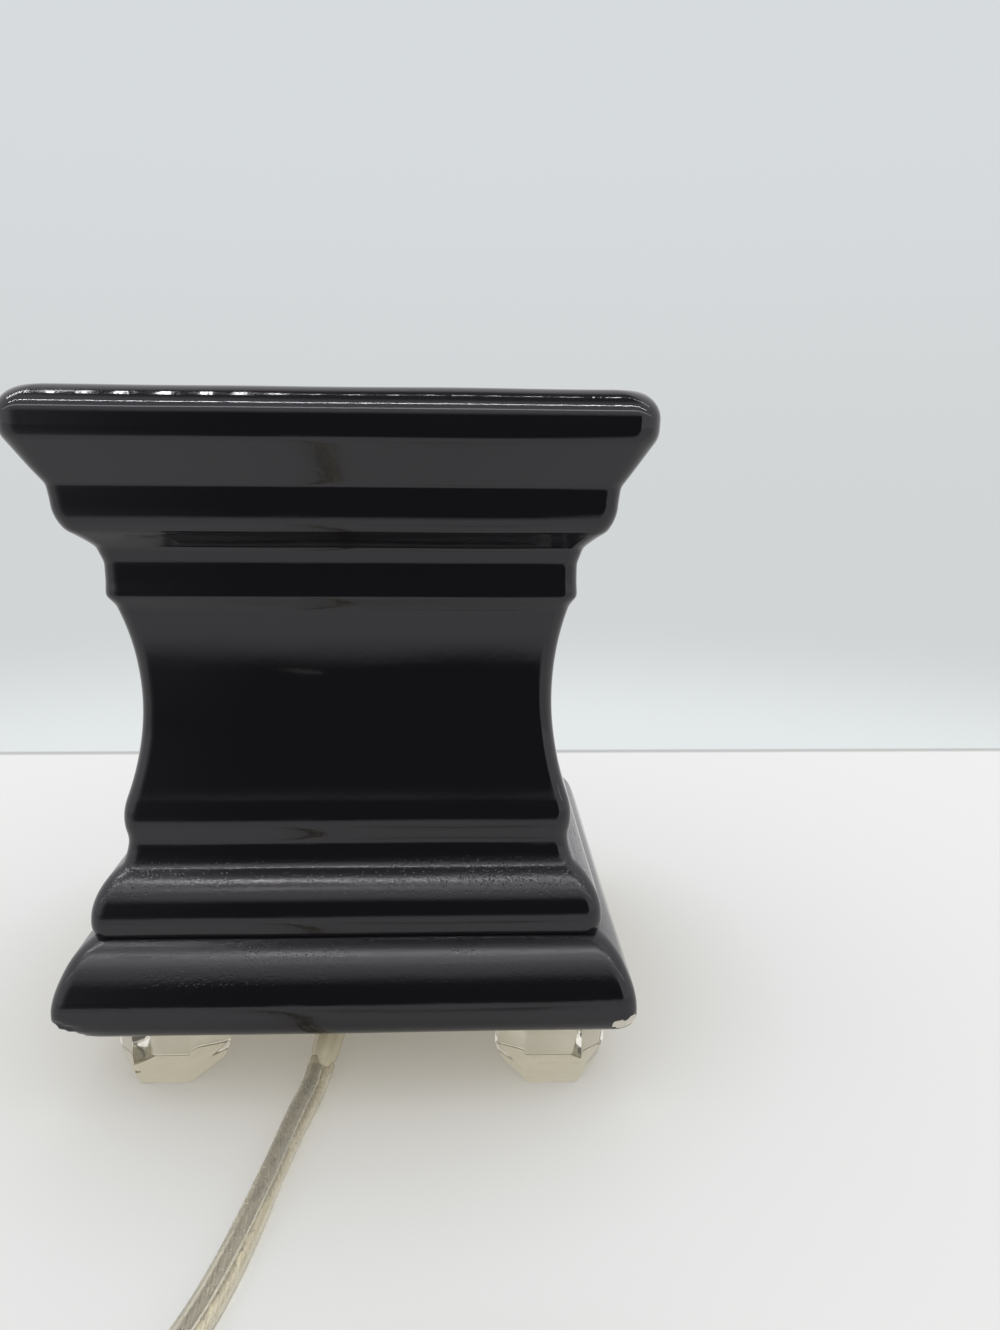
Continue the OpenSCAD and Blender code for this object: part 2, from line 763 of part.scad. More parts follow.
// Point of the coil at t turns: it spirals in on the lower layer and out again on the upper one
function coil_point(t) =
    let (
        from_middle = t - coil_turns,
        r = coil_in + coil_step * abs(from_middle),
        share = min(1, max(0, from_middle / coil_climb + 0.5)),
        lift = coil_rise * (1 - cos(180 * share)) / 2
    )
    [coil_at[0] + r * cos(360 * t), coil_at[1] + r * sin(360 * t), coil_z + lift, 90];
coil_count = 2 * coil_turns * coil_rings;
coil_route = [
    [coil_at[0] + coil_r, coil_at[1] - coil_straight, coil_z, 90],
    for (i = [0:coil_count]) coil_point(i / coil_rings),
    [coil_at[0] - coil_r, coil_at[1] - coil_straight, coil_z + coil_rise, 90]
];
module cord_coil() {
    rings = [for (i = [0:len(coil_route) - 1])
        ring(coil_route[i], way_at(coil_route, i, [0, 1, 0], [0, -1, 0]), coil_section)];
    gaps = [for (i = [1:len(rings) - 2], j = [i + coil_rings:coil_rings:len(rings) - 2])
        min([for (p = rings[i], q = rings[j]) norm(p - q)])];
    echo(coil_least_gap = min(gaps), coil_length = route_length(coil_route));
    color("#c9c5b2") tube(rings);
}
module coil_tie() {
    inner = coil_in - cord_t / 2 - tie_gap;
    outer = coil_r + cord_t / 2 + tie_gap;
    top = coil_top + tie_gap;
    color("#3a3a3d")
        translate([coil_at[0], coil_at[1], 0])
            rotate(tie_turn)
                difference() {
                    translate([inner - tie_t, -tie_w / 2, 0])
                        cube([outer - inner + 2 * tie_t, tie_w, top + tie_t]);
                    translate([inner, -tie_w, tie_t]) cube([outer - inner, 2 * tie_w, top - tie_t]);
                }
}

// Thumbwheel switch
module in_switch() { translate([switch_at[0], switch_at[1], 0]) children(); }
module switch_shape(h) {
    linear_extrude(h)
        polygon([for (sx = [-1, 1], k = [0:3])
            let (
                y_sign = k < 2 ? sx : -sx,
                x_cut = k == 0 || k == 3 ? switch_corner : 0,
                y_cut = k == 1 || k == 2 ? switch_corner : 0
            )
            [-sx * (switch_l / 2 - x_cut), -y_sign * (switch_w / 2 - y_cut)]]);
}
module snouts(h) {
    for (s = [-1, 1])
        translate([s * (switch_l + snout_l - snout_root) / 2, 0, h / 2])
            cube([snout_l + snout_root, snout_w, h], center = true);
}
module wheel_room() {
    translate([0, wheel_y, switch_h / 2 - wheel_t / 2 - wheel_gap])
        cylinder(h = wheel_t + 2 * wheel_gap, d = wheel_d + 2 * wheel_gap);
}
module contact_room() {
    translate([contact_x1, contact_y1, switch_h / 2 - wheel_t / 2])
        cube([contact_x2 - contact_x1, switch_w / 2 - switch_wall - contact_y1, wheel_t]);
}
module switch_holes() {
    translate([0, wheel_y, switch_wall])
        cylinder(h = switch_h - 2 * switch_wall, d = pin_d + 2 * screw_gap);
    translate([switch_screw_x, 0, -over])
        cylinder(h = over + switch_h - switch_wall, d = switch_screw_d + 2 * screw_gap);
    translate([switch_screw_x, 0, -over])
        cylinder(h = over + head_t, d = switch_screw_d * head_ratio + 2 * screw_gap);
}
module switch_base() {
    color("#d9d5c4")
        in_switch()
            difference() {
                union() {
                    switch_shape(switch_h / 2);
                    translate([0, 0, switch_h / 2 - snout_h / 2]) snouts(snout_h / 2);
                }
                wheel_room();
                contact_room();
                switch_holes();
            }
}
module switch_cover() {
    color("#d9d5c4")
        in_switch()
            difference() {
                translate([0, 0, switch_h / 2]) {
                    switch_shape(switch_h / 2);
                    snouts(snout_h / 2);
                }
                wheel_room();
                contact_room();
                switch_holes();
            }
}
module switch_wheel() {
    color("#6b675c")
        in_switch()
            translate([0, wheel_y, switch_h / 2 - wheel_t / 2])
                difference() {
                    cylinder(h = wheel_t, d = wheel_d);
                    translate([0, 0, -over]) cylinder(h = wheel_t + 2 * over, d = pin_d + 2 * pin_gap);
                    for (i = [1:wheel_grooves])
                        rotate(360 * i / wheel_grooves)
                            translate([wheel_d / 2 + groove_out, 0, -over])
                                cylinder(h = wheel_t + 2 * over, r = groove_r);
                }
}
module wheel_pin() {
    color("#b5b5b2")
        in_switch()
            translate([0, wheel_y, switch_wall]) cylinder(h = switch_h - 2 * switch_wall, d = pin_d);
}
module switch_contacts() {
    strip_l = (contact_x2 - contact_x1 - strip_part) / 2;
    strip_y = wheel_y + wheel_d / 2 + wheel_gap + strip_gap;
    color("#c8a552")
        in_switch()
            for (x = [contact_x1, contact_x2 - strip_l])
                translate([x, strip_y, switch_h / 2 - wheel_t / 2])
                    cube([strip_l, strip_t, strip_h]);
}
module switch_screw() {
    color("#b5b5b2")
        in_switch()
            translate([switch_screw_x, 0, head_t])
                screw(switch_screw_d, switch_h - switch_wall - head_t - screw_room);
}

// Plug
module in_plug() { translate([plug_at[0], plug_at[1], plug_z]) children(); }
module plug_body() {
    plan = [
        [-plug_tail_l, -plug_tail_w / 2], [0, -plug_w / 2 + plug_waist], [plug_grip_l, -plug_w / 2],
        [plug_l, -plug_w / 2 + plug_nose], [plug_l, plug_w / 2 - plug_nose], [plug_grip_l, plug_w / 2],
        [0, plug_w / 2 - plug_waist], [-plug_tail_l, plug_tail_w / 2]
    ];
    side = [
        [-plug_tail_l, -plug_tail_t / 2], [plug_slope_l, -plug_t / 2], [plug_l, -plug_t / 2],
        [plug_l, plug_t / 2], [plug_slope_l, plug_t / 2], [-plug_tail_l, plug_tail_t / 2]
    ];
    color("#d8d2b4")
        in_plug()
            intersection() {
                linear_extrude(2 * plug_t, center = true) polygon(plan);
                rotate([90, 0, 0]) linear_extrude(2 * plug_w, center = true) polygon(side);
            }
}
module plug_blades() {
    color("#cfb25f")
        in_plug()
            for (s = [-1, 1])
                translate([plug_l, s * blade_span / 2, 0])
                    difference() {
                        width = s < 0 ? blade_wide_w : blade_w;
                        translate([0, -blade_t / 2, -width / 2]) cube([blade_l, blade_t, width]);
                        translate([blade_l - blade_hole_in, 0, 0])
                            rotate([90, 0, 0]) cylinder(h = 2 * blade_t, d = blade_hole_d, center = true);
                    }
}

ceramic_body();
wax_dish();
foot_front_left();
foot_front_right();
foot_rear_left();
foot_rear_right();
foot_glue();
lampholder();
screw_shell();
centre_contact();
terminal_screws();
lead_wires();
wiring_cap();
clamp_screws();
cord_bush();
bulb_glass();
bulb_cap();
bulb_insulator();
bulb_tip();
bulb_stem();
bulb_leads();
bulb_filament();
cord_lead();
cord_feed();
cord_coil();
cord_tail();
coil_tie();
switch_base();
switch_cover();
switch_wheel();
wheel_pin();
switch_contacts();
switch_screw();
plug_body();
plug_blades();
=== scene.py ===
import math

import bpy
import numpy as np
from mathutils import Matrix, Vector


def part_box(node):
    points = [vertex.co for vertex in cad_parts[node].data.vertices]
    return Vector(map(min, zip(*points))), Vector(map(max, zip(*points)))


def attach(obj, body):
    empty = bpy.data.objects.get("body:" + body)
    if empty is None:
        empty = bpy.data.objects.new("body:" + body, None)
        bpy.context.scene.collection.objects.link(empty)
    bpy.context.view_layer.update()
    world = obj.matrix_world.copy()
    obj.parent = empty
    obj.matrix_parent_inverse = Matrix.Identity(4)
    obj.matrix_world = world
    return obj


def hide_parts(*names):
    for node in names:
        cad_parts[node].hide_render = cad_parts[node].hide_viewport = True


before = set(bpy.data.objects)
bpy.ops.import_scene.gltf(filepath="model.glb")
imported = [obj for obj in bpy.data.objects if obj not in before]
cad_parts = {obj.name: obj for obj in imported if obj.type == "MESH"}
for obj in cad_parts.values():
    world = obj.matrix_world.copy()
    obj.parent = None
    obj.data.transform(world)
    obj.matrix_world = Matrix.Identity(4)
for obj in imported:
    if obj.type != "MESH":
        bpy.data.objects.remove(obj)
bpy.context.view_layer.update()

# Pedestal
# A hollow square pedestal, slip-cast in pale clay with stacked mouldings and a rolled rim, then dipped
# in black gloss glaze. Its underside and lamp chamber stay bare, and two corners of the skirt are chipped.
MM = 0.001
pedestal_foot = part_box("ceramic_body")[0].z / MM
# Half-width, height over the underside, and how far the stretch that ends there swells outwards
pedestal_outside = [
    (54.2, -0.9, 0.0), (57.95, 3.4, 1.15), (56.9, 9.2, 0.26), (55.2, 13.0, 0.07), (50.5, 17.7, 0.5),
    (51.05, 21.6, 0.25), (45.7, 30.9, 1.29), (44.65, 34.6, -0.1), (44.8, 37.7, -0.16), (44.2, 44.8, 0.47),
    (43.8, 83.6, -3.05), (45.2, 85.7, 0.0), (45.05, 88.4, 0.0), (45.05, 92.0, 0.0), (46.05, 95.1, 0.0),
    (49.9, 98.5, -0.1), (51.7, 104.1, 0.45), (52.05, 107.0, 0.0), (57.15, 115.0, 0.0),
    (57.85, 117.4, 0.18), (57.9, 119.6, 0.0), (53.0, 124.4, 1.3),
]
pedestal_inside = [
    (48.6, 124.2, 0.0), (48.0, 123.5, 0.0), (48.0, 114.5, 0.0), (43.0, 114.5, 0.0), (43.0, 103.1, 0.0),
    (35.4, 94.4, 0.0), (35.4, 37.8, 0.0), (45.2, 20.5, 0.0), (52.0, 5.0, 0.0), (17.0, 5.0, 0.0),
    (17.0, 0.0, 0.0), (52.4, 0.0, 0.0), (54.2, -0.9, 0.0),
]
crease = (50.5, 17.7)
outer_corner = 2.9
rim_corner = 4.5
chamber_corner = 15.4
floor_hole = 17.0
outline_step = 0.42
arris = 0.45
crease_reach = 0.9
inside_every = 4


def traced(points, step):
    """Points about one step apart along an outline of (across, up, swell): a stretch with a swell is a
    circular arc that stands out to the right of its chord by that much, any other is straight."""
    parts = [np.array([points[0][:2]])]
    for (x0, y0, _), (x1, y1, swell) in zip(points, points[1:]):
        chord = np.hypot(x1 - x0, y1 - y0)
        count = max(2, int(round(chord / step)))
        share = np.arange(1, count + 1)[:, None] / count
        along = np.array([x1 - x0, y1 - y0])
        right = np.array([along[1], -along[0]]) / chord
        half_turn = 2 * np.arctan(2 * swell / chord)
        if swell == 0:
            parts.append(np.array([x0, y0]) + share * along)
            continue
        radius = chord / 2 / np.sin(half_turn)
        turn = half_turn * (2 * share - 1)
        middle = np.array([x0, y0]) + along / 2
        parts.append(middle + along / chord * radius * np.sin(turn)
                     + right * radius * (np.cos(turn) - np.cos(half_turn)))
    return np.concatenate(parts)


def softened(loop, reach, step):
    """A closed loop of evenly spaced rows, each the mean of its neighbours under a bell curve that falls
    off over the given reach, which rounds every arris as a coat of glaze does."""
    far = int(math.ceil(3 * reach / step))
    weights = {k: math.exp(-0.5 * (k * step / reach) ** 2) for k in range(-far, far + 1)}
    total = sum(weights.values())
    return sum(np.roll(loop, k, axis=0) * w for k, w in weights.items()) / total


def polygon_radius(theta, half, corner, sides):
    """Distance from the middle of a regular polygon with rounded corners to its edge in the direction
    theta: half over the cosine along a flat, and the far side of the corner's circle past its end."""
    slice_half = np.pi / sides
    fold = np.abs((theta + slice_half) % (2 * slice_half) - slice_half)
    centre = half - corner
    reach = centre * (np.cos(fold) + np.tan(slice_half) * np.sin(fold))
    inside = reach**2 - (centre / np.cos(slice_half)) ** 2 + corner**2
    on_flat = half * np.tan(fold) <= centre * np.tan(slice_half)
    return np.where(on_flat, half / np.cos(fold), reach + np.sqrt(np.maximum(inside, 0)))


def polygon_angles(sides, on_flat, on_corner, corner_reach):
    """Directions round a polygon: steps over each flat that shorten towards its ends as a sine levels off,
    and close even steps over each corner."""
    slice_half = np.pi / sides
    flat = (slice_half - corner_reach) * np.sin(np.linspace(-np.pi / 2, np.pi / 2, on_flat))
    corner = np.linspace(slice_half - corner_reach, slice_half + corner_reach, on_corner + 2)[1:-1]
    one_side = np.concatenate([flat, corner])
    return (one_side + 2 * slice_half * np.arange(sides)[:, None]).ravel()


def rings_of(outline, theta, sides):
    """Rings in space from rows of (half-width, height, corner radius): each row is a rounded polygon at
    its own height, met in the directions theta."""
    half, up, corner = (outline[:, k, None] for k in range(3))
    radius = polygon_radius(theta[None, :], half, corner, sides)
    return np.stack([radius * np.cos(theta), radius * np.sin(theta), up + 0 * radius], axis=2)


def outward(rings):
    """Unit normals of a grid of rings: the way round crossed with the way along."""
    round_way = np.roll(rings, -1, axis=1) - np.roll(rings, 1, axis=1)
    along_way = np.roll(rings, -1, axis=0) - np.roll(rings, 1, axis=0)
    normal = np.cross(round_way, along_way)
    return normal / np.maximum(np.linalg.norm(normal, axis=2, keepdims=True), 1e-9)


def waves(points, length, seed, count=7):
    """Slow waves through space, from -1 to 1 or so: the mean of sines along seeded random directions,
    all with about the given wavelength."""
    draw = np.random.default_rng(seed)
    ways = draw.normal(size=(count, 3))
    ways *= (2 * np.pi / length * draw.uniform(0.6, 1.4, count) / np.linalg.norm(ways, axis=1))[:, None]
    return np.sin(points @ ways.T + draw.uniform(0, 2 * np.pi, count)).sum(axis=-1) / math.sqrt(count)


def smooth_step(value, low, high):
    """0 below low, 1 above high, and an S-shaped rise between them."""
    share = np.clip((value - low) / (high - low), 0, 1)
    return share * share * (3 - 2 * share)


def band(value, start, full, last, gone):
    """0 before start and after gone, 1 from full to last, with S-shaped slopes between them."""
    return smooth_step(value, start, full) * smooth_step(value, gone, last)


def grid_faces(rows, columns, closed_rows):
    """Four-sided faces between neighbouring rings, each closed on itself."""
    index = np.arange(rows * columns).reshape(rows, columns)
    low = index if closed_rows else index[:-1]
    high = np.roll(index, -1, axis=0)[:len(low)]
    faces = np.stack([low, np.roll(low, -1, axis=1), np.roll(high, -1, axis=1), high], axis=2)
    return faces.reshape(-1, 4)


def loft(name, rings, material, closed_rows=False, flat_over=None):
    """A mesh object over rings of points in millimetres. The rows close on themselves, or else a fan of
    triangles closes the first and the last ring. Edges sharper than flat_over degrees stay crisp."""
    pieces = rings if isinstance(rings, list) else [rings]
    points, faces, start = [], [], 0
    for piece in pieces:
        rows, columns = piece.shape[:2]
        points.append(piece.reshape(-1, 3))
        faces.extend((grid_faces(rows, columns, closed_rows) + start).tolist())
        for row, turn in () if closed_rows else ((0, 1), (rows - 1, -1)):
            ring = start + row * columns + np.arange(columns)
            middle = start + len(points[-1])
            points[-1] = np.concatenate([points[-1], [piece[row].mean(axis=0)]])
            faces.extend(np.stack([np.full(columns, middle), np.roll(ring, -turn), ring], axis=1).tolist())
        start += len(points[-1])
    mesh = bpy.data.meshes.new(name)
    mesh.from_pydata((np.concatenate(points) * MM).tolist(), [], faces)
    mesh.shade_smooth()
    if flat_over is not None:
        mesh.set_sharp_from_angle(angle=math.radians(flat_over))
    made = bpy.data.objects.new(name, mesh)
    bpy.context.scene.collection.objects.link(made)
    mesh.materials.append(material)
    return made


def mark(piece, name, values):
    """Keeps one number for each point of a piece, for its material to read."""
    attribute = piece.data.attributes.new(name, "FLOAT", "POINT")
    attribute.data.foreach_set("value", np.ascontiguousarray(values, np.float32).ravel())


def seat(piece, body, slot, *nodes):
    """Lets a finished piece ride on its body, in place of the solids that it stands for."""
    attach(piece, body)
    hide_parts(*nodes)
    return piece


def feed(tree, node, inputs):
    """Gives each named socket of a node a plain value, or the output of another node."""
    for socket, value in inputs.items():
        if isinstance(value, bpy.types.NodeSocket):
            tree.links.new(value, node.inputs[socket])
        else:
            node.inputs[socket].default_value = value


def add_node(tree, kind, inputs=(), **settings):
    """A shader node: settings are its own properties, and inputs give each socket a value or a feed."""
    made = tree.nodes.new("ShaderNode" + kind)
    for key, value in settings.items():
        setattr(made, key, value)
    feed(tree, made, dict(inputs))
    return made


def mixed_colour(tree, mask, first, second):
    """A colour that goes from first to second as the mask goes from 0 to 1."""
    return add_node(tree, "Mix", {0: mask, 6: first, 7: second}, data_type="RGBA").outputs[2]


def between(tree, value, low, high, to_low=0.0, to_high=1.0):
    """A value stretched smoothly from one range to another, and held at its ends."""
    inputs = {0: value, 1: low, 2: high, 3: to_low, 4: to_high}
    return add_node(tree, "MapRange", inputs, interpolation_type="SMOOTHSTEP").outputs[0]


def maths(tree, operation, first, second):
    """One arithmetic operation on two values or feeds."""
    return add_node(tree, "Math", {0: first, 1: second}, operation=operation).outputs[0]


def times(tree, first, second):
    """The product of two values or feeds."""
    return maths(tree, "MULTIPLY", first, second)


def plus(tree, first, second):
    """The sum of two values or feeds."""
    return maths(tree, "ADD", first, second)


def noise(tree, spot, scale, detail):
    """Cloudy noise from 0 to 1 at a spot."""
    return add_node(tree, "TexNoise", {"Vector": spot, "Scale": scale, "Detail": detail}).outputs[0]


def bumped(tree, shader, height, distance):
    """Lets a feed of heights bend a shader's normals."""
    bump = add_node(tree, "Bump", {"Height": height, "Distance": distance})
    feed(tree, shader, {"Normal": bump.outputs[0]})


def surface(tree, shader):
    """Makes a shader node the surface of its material."""
    feed(tree, tree.nodes["Material Output"], {"Surface": shader.outputs[0]})


def shader_of(name, values):
    """A new material and its shader, with the given plain values on the shader's sockets."""
    material = bpy.data.materials.new(name)
    material.use_nodes = True
    shader = material.node_tree.nodes["Principled BSDF"]
    feed(material.node_tree, shader, values)
    return material, shader


def effect_group(name, inputs, outputs):
    """An empty shader group with named number sockets, and its two end nodes."""
    group = bpy.data.node_groups.new(name, "ShaderNodeTree")
    for label, value in inputs.items():
        group.interface.new_socket(label, in_out="INPUT", socket_type="NodeSocketFloat").default_value = value
    for label in outputs:
        group.interface.new_socket(label, in_out="OUTPUT", socket_type="NodeSocketFloat")
    return group, group.nodes.new("NodeGroupInput"), group.nodes.new("NodeGroupOutput")


def kiln_finish():
    """Fired glaze: a fine orange peel, drifting gloss with hairline scuffs, a few pale specks of dust, and
    where the pitting mask says, boiled-out dents, each a small cup with a dull core."""
    group, given, out = effect_group(
        "kiln_finish", {"Pitting": 0.0, "Peel": 1.0}, ("Height", "Roughness", "Dust", "Dent"))
    spot = add_node(group, "TexCoord").outputs["Object"]
    peel = noise(group, spot, 620.0, 2.0)
    pits = noise(group, spot, 1500.0, 3.0)
    cups = add_node(group, "TexVoronoi", {"Vector": spot, "Scale": 1500.0})
    pitting = given.outputs["Pitting"]
    boiled = times(group, between(group, cups.outputs["Color"], 0.45, 0.6), pitting)
    dent = times(group, between(group, cups.outputs["Distance"], 0.12, 0.42, 1.0, 0.0), boiled)
    streaky = add_node(group, "Mapping", {"Vector": spot, "Scale": (60.0, 60.0, 1400.0)}).outputs[0]
    hairs = noise(group, streaky, 1.0, 3.0)
    patches = noise(group, spot, 38.0, 2.0)
    drift = noise(group, spot, 21.0, 4.0)
    cells = add_node(group, "TexVoronoi", {"Vector": spot, "Scale": 130.0})
    near = between(group, cells.outputs["Distance"], 0.02, 0.034, 1.0, 0.0)
    chosen = between(group, cells.outputs["Color"], 0.66, 0.68)
    scuffs = times(group, between(group, hairs, 0.6, 0.72), between(group, patches, 0.56, 0.68))
    gloss = plus(group, between(group, drift, 0.35, 0.7, 0.05, 0.1), times(group, scuffs, 0.14))
    fine = times(group, peel, given.outputs["Peel"])
    rough = times(group, times(group, pits, pitting), 5.0)
    feed(group, out, {
        "Height": maths(group, "SUBTRACT", plus(group, fine, rough), times(group, dent, 4.5)),
        "Roughness": plus(group, gloss, times(group, pitting, 0.06)),
        "Dent": dent, "Dust": times(group, near, chosen)})
    return group


def glaze_material(name, group, black, clay):
    """Black gloss glaze over pale clay: the piece's own bare, pitted and dull marks say where the clay
    shows, where the glaze has boiled into pits and where it fired satin."""
    material, shader = shader_of(name, {"IOR": 1.55, "Specular Tint": (0.97, 0.95, 1.0, 1.0)})
    tree = material.node_tree
    bare, pitted, dull = (add_node(tree, "Attribute", attribute_name=kept).outputs["Fac"]
                          for kept in ("bare", "pitted", "dull"))
    spot = add_node(tree, "TexCoord").outputs["Object"]
    crumb = noise(tree, spot, 900.0, 4.0)
    ragged = plus(tree, bare, between(tree, crumb, 0.3, 0.7, -0.14, 0.14))
    shows = between(tree, ragged, 0.44, 0.56)
    finish = add_node(tree, "Group", {"Pitting": pitted, "Peel": 1.0}, node_tree=group)
    dusty = mixed_colour(tree, finish.outputs["Dust"], black, (0.32, 0.31, 0.3, 1.0))
    dark_clay = tuple(0.78 * c for c in clay[:3]) + (1.0,)
    mottled = mixed_colour(tree, crumb, dark_clay, clay)
    satin = plus(tree, times(tree, dull, 0.09), finish.outputs["Roughness"])
    dulled = plus(tree, satin, times(tree, finish.outputs["Dent"], 0.3))
    gloss = add_node(tree, "Mix", {0: shows, 2: dulled, 3: 0.85}).outputs[0]
    feed(tree, shader, {"Base Color": mixed_colour(tree, shows, dusty, mottled), "Roughness": gloss})
    crumbly = times(tree, crumb, 9.0)
    grain = add_node(tree, "Mix", {0: shows, 2: finish.outputs["Height"], 3: crumbly}).outputs[0]
    bumped(tree, shader, grain, 0.000009)
    return material


glaze_black = (0.0045, 0.004, 0.0052, 1.0)
pale_clay = (0.72, 0.67, 0.58, 1.0)
kiln_group = kiln_finish()
black_glaze = glaze_material("black_glaze", kiln_group, glaze_black, pale_clay)

outside_rows = traced(pedestal_outside, outline_step)
inside_rows = traced([pedestal_outside[-1]] + pedestal_inside, outline_step)[1:-1]
pedestal_loop = np.concatenate([outside_rows, inside_rows])
is_outside = np.arange(len(pedestal_loop)) < len(outside_rows)
into_chamber = smooth_step(pedestal_loop[:, 0], 51.5, 48.2) * ~is_outside
in_hole = smooth_step(pedestal_loop[:, 0], 34.0, 17.5) * (pedestal_loop[:, 1] < 5.2)
pedestal_corner = outer_corner + (rim_corner - outer_corner) * smooth_step(pedestal_loop[:, 1], 108.0, 117.0)
pedestal_corner += (chamber_corner - pedestal_corner) * into_chamber
pedestal_corner += (floor_hole - pedestal_corner) * in_hole
pedestal_loop = np.column_stack([pedestal_loop, pedestal_corner])
pedestal_loop[:, 1] += pedestal_foot
from_crease = np.hypot(*(pedestal_loop[:, :2] - (crease[0], crease[1] + pedestal_foot)).T)
kept_keen = np.exp(-((from_crease / crease_reach) ** 2))[:, None]
pedestal_loop = pedestal_loop * kept_keen + softened(pedestal_loop, arris, outline_step) * (1 - kept_keen)
pedestal_loop[:, 2] = np.minimum(pedestal_loop[:, 2], pedestal_loop[:, 0])
kept_rows = is_outside | (np.arange(len(pedestal_loop)) % inside_every == 0)
pedestal_loop = pedestal_loop[kept_rows]
is_outside = is_outside[kept_rows]
pedestal_angles = polygon_angles(4, 24, 14, math.radians(2.3))
pedestal_rings = rings_of(pedestal_loop, pedestal_angles, 4)
pedestal_normals = outward(pedestal_rings)
hand_finish = 0.05 * waves(pedestal_rings, 46.0, 3) + 0.012 * waves(pedestal_rings, 15.0, 4)
pedestal_rings += pedestal_normals * (hand_finish * is_outside[:, None])[:, :, None]
# Middle of each chip, how far it reaches, how deep it goes, and how much of it has lost its glaze
chips = [((-57.0, -57.0, 16.0), 8.0, 1.5, 0.0), ((-56.3, -56.0, 17.8), 1.3, 0.3, 1.0),
         ((54.4, -57.7, 18.2), 2.0, 0.5, 1.0), ((56.8, -57.0, 18.7), 2.0, 0.6, 1.0)]
chipped = np.zeros(pedestal_rings.shape[:2])
for chip_at, chip_reach, chip_depth, chip_bare in chips:
    away = np.linalg.norm((pedestal_rings - np.array(chip_at)) * (1.0, 1.0, 1.5), axis=2)
    near_chip = 1 - away / chip_reach + 0.12 * waves(pedestal_rings, 2.6, 9)
    chipped = np.maximum(chipped, smooth_step(near_chip + chip_bare - 1, -0.05, 0.2))
    pedestal_rings -= pedestal_normals * (chip_depth * smooth_step(near_chip, 0.0, 0.8))[:, :, None]
along_x, height_up = pedestal_rings[:, :, 0], pedestal_rings[:, :, 2]
drip_line = 118.0 + 2.5 * waves(pedestal_rings * (1.0, 1.0, 0.0), 24.0, 12)
bare_inside = smooth_step(drip_line - height_up, 0.0, 0.8) * ~is_outside[:, None]
under_edge = 52.0 + 0.8 * waves(pedestal_rings * (1.0, 1.0, 0.0), 21.0, 13)
half_across = np.abs(pedestal_rings[:, :, :2]).max(axis=2)
bare_under = smooth_step(under_edge - half_across, 0.0, 0.8) * (height_up < pedestal_foot + 0.4)
# Heights, or places across, where each finish comes in, is full, begins to fade and has gone
torus_top = band(height_up, 41.5, 44.0, 48.5, 50.0)
skirt_top = band(height_up, 28.0, 30.5, 34.0, 34.4)
patchy = smooth_step(waves(pedestal_rings * (1.0, 1.0, 0.3), 38.0, 21), -0.5, 0.7)
pits_right = smooth_step(along_x, -4.0, 28.0)
pits_left = smooth_step(along_x, -36.0, -41.0)
torus_pits = torus_top * np.maximum(0.35 + 0.15 * patchy, np.maximum(pits_right, pits_left))
skirt_low = band(height_up, 25.5, 28.0, 33.0, 34.4)
skirt_left = band(along_x, -41.0, -34.0, -25.0, -12.0)
skirt_pits = skirt_low * (0.2 + 0.5 * skirt_left)
rim_pits = 0.1 * smooth_step(height_up, 137.0, 138.5) * smooth_step(along_x, -30.0, 5.0)
pedestal = loft("pedestal", pedestal_rings, black_glaze, closed_rows=True, flat_over=55)
mark(pedestal, "bare", np.maximum(np.maximum(bare_inside, bare_under), chipped))
mark(pedestal, "pitted", (torus_pits + skirt_pits + rim_pits) * is_outside[:, None])
mark(pedestal, "dull", (torus_top + 2 * skirt_top) * is_outside[:, None])
seat(pedestal, "root", "black_glaze", "ceramic_body")

# Feet and their glue
# Four clear acrylic knobs, moulded as hexagons with a bevelled lower edge, and yellowed with age. Each
# is held under a corner of the base by a spot of clear glue that has turned darker.
foot_bevel = 1.3
foot_bevel_h = 4.1
foot_corner = 0.5
foot_edge = 0.5
foot_step = 0.16
foot_set = {"foot_front_left": (1.5, 1.4), "foot_front_right": (1.4, -0.6)}
glue_sunk, glue_reach = 2.2, 7.6
glue_tone = (0.92, 0.84, 0.52, 1.0)
acrylic_tone = (0.985, 0.955, 0.86, 1.0)


def round_angles(count):
    """Directions all the way round, in even steps."""
    return np.linspace(0, 2 * np.pi, count, endpoint=False)


def polar(radius, angle):
    """Flat points at a radius and an angle from the middle."""
    return np.stack([radius * np.cos(angle), radius * np.sin(angle)], axis=-1)


def corners_of(node):
    """The lowest and the highest corner of a solid's box, in millimetres."""
    return (np.array(corner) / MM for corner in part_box(node))


def clear_material(name, tone, clearness, ior, roughness, haze, bump_scale, bump_height):
    """A clear or milky solid that lets lamplight through: a tinted refracting shader whose gloss drifts
    from roughness to haze over the surface, with a slight unevenness, swapped for plain tinted see-through
    where a shadow is asked for."""
    material, shader = shader_of(name, {"Base Color": tone, "IOR": ior, "Transmission Weight": clearness})
    tree = material.node_tree
    spot = add_node(tree, "TexCoord").outputs["Object"]
    cloud = noise(tree, spot, bump_scale, 3.0)
    feed(tree, shader, {"Roughness": between(tree, cloud, 0.35, 0.7, roughness, haze)})
    bumped(tree, shader, cloud, bump_height)
    shadow = add_node(tree, "LightPath").outputs["Is Shadow Ray"]
    through = add_node(tree, "BsdfTransparent", {"Color": tone}).outputs[0]
    either = add_node(tree, "MixShader", {0: shadow, 1: shader.outputs[0], 2: through})
    surface(tree, either)
    return material


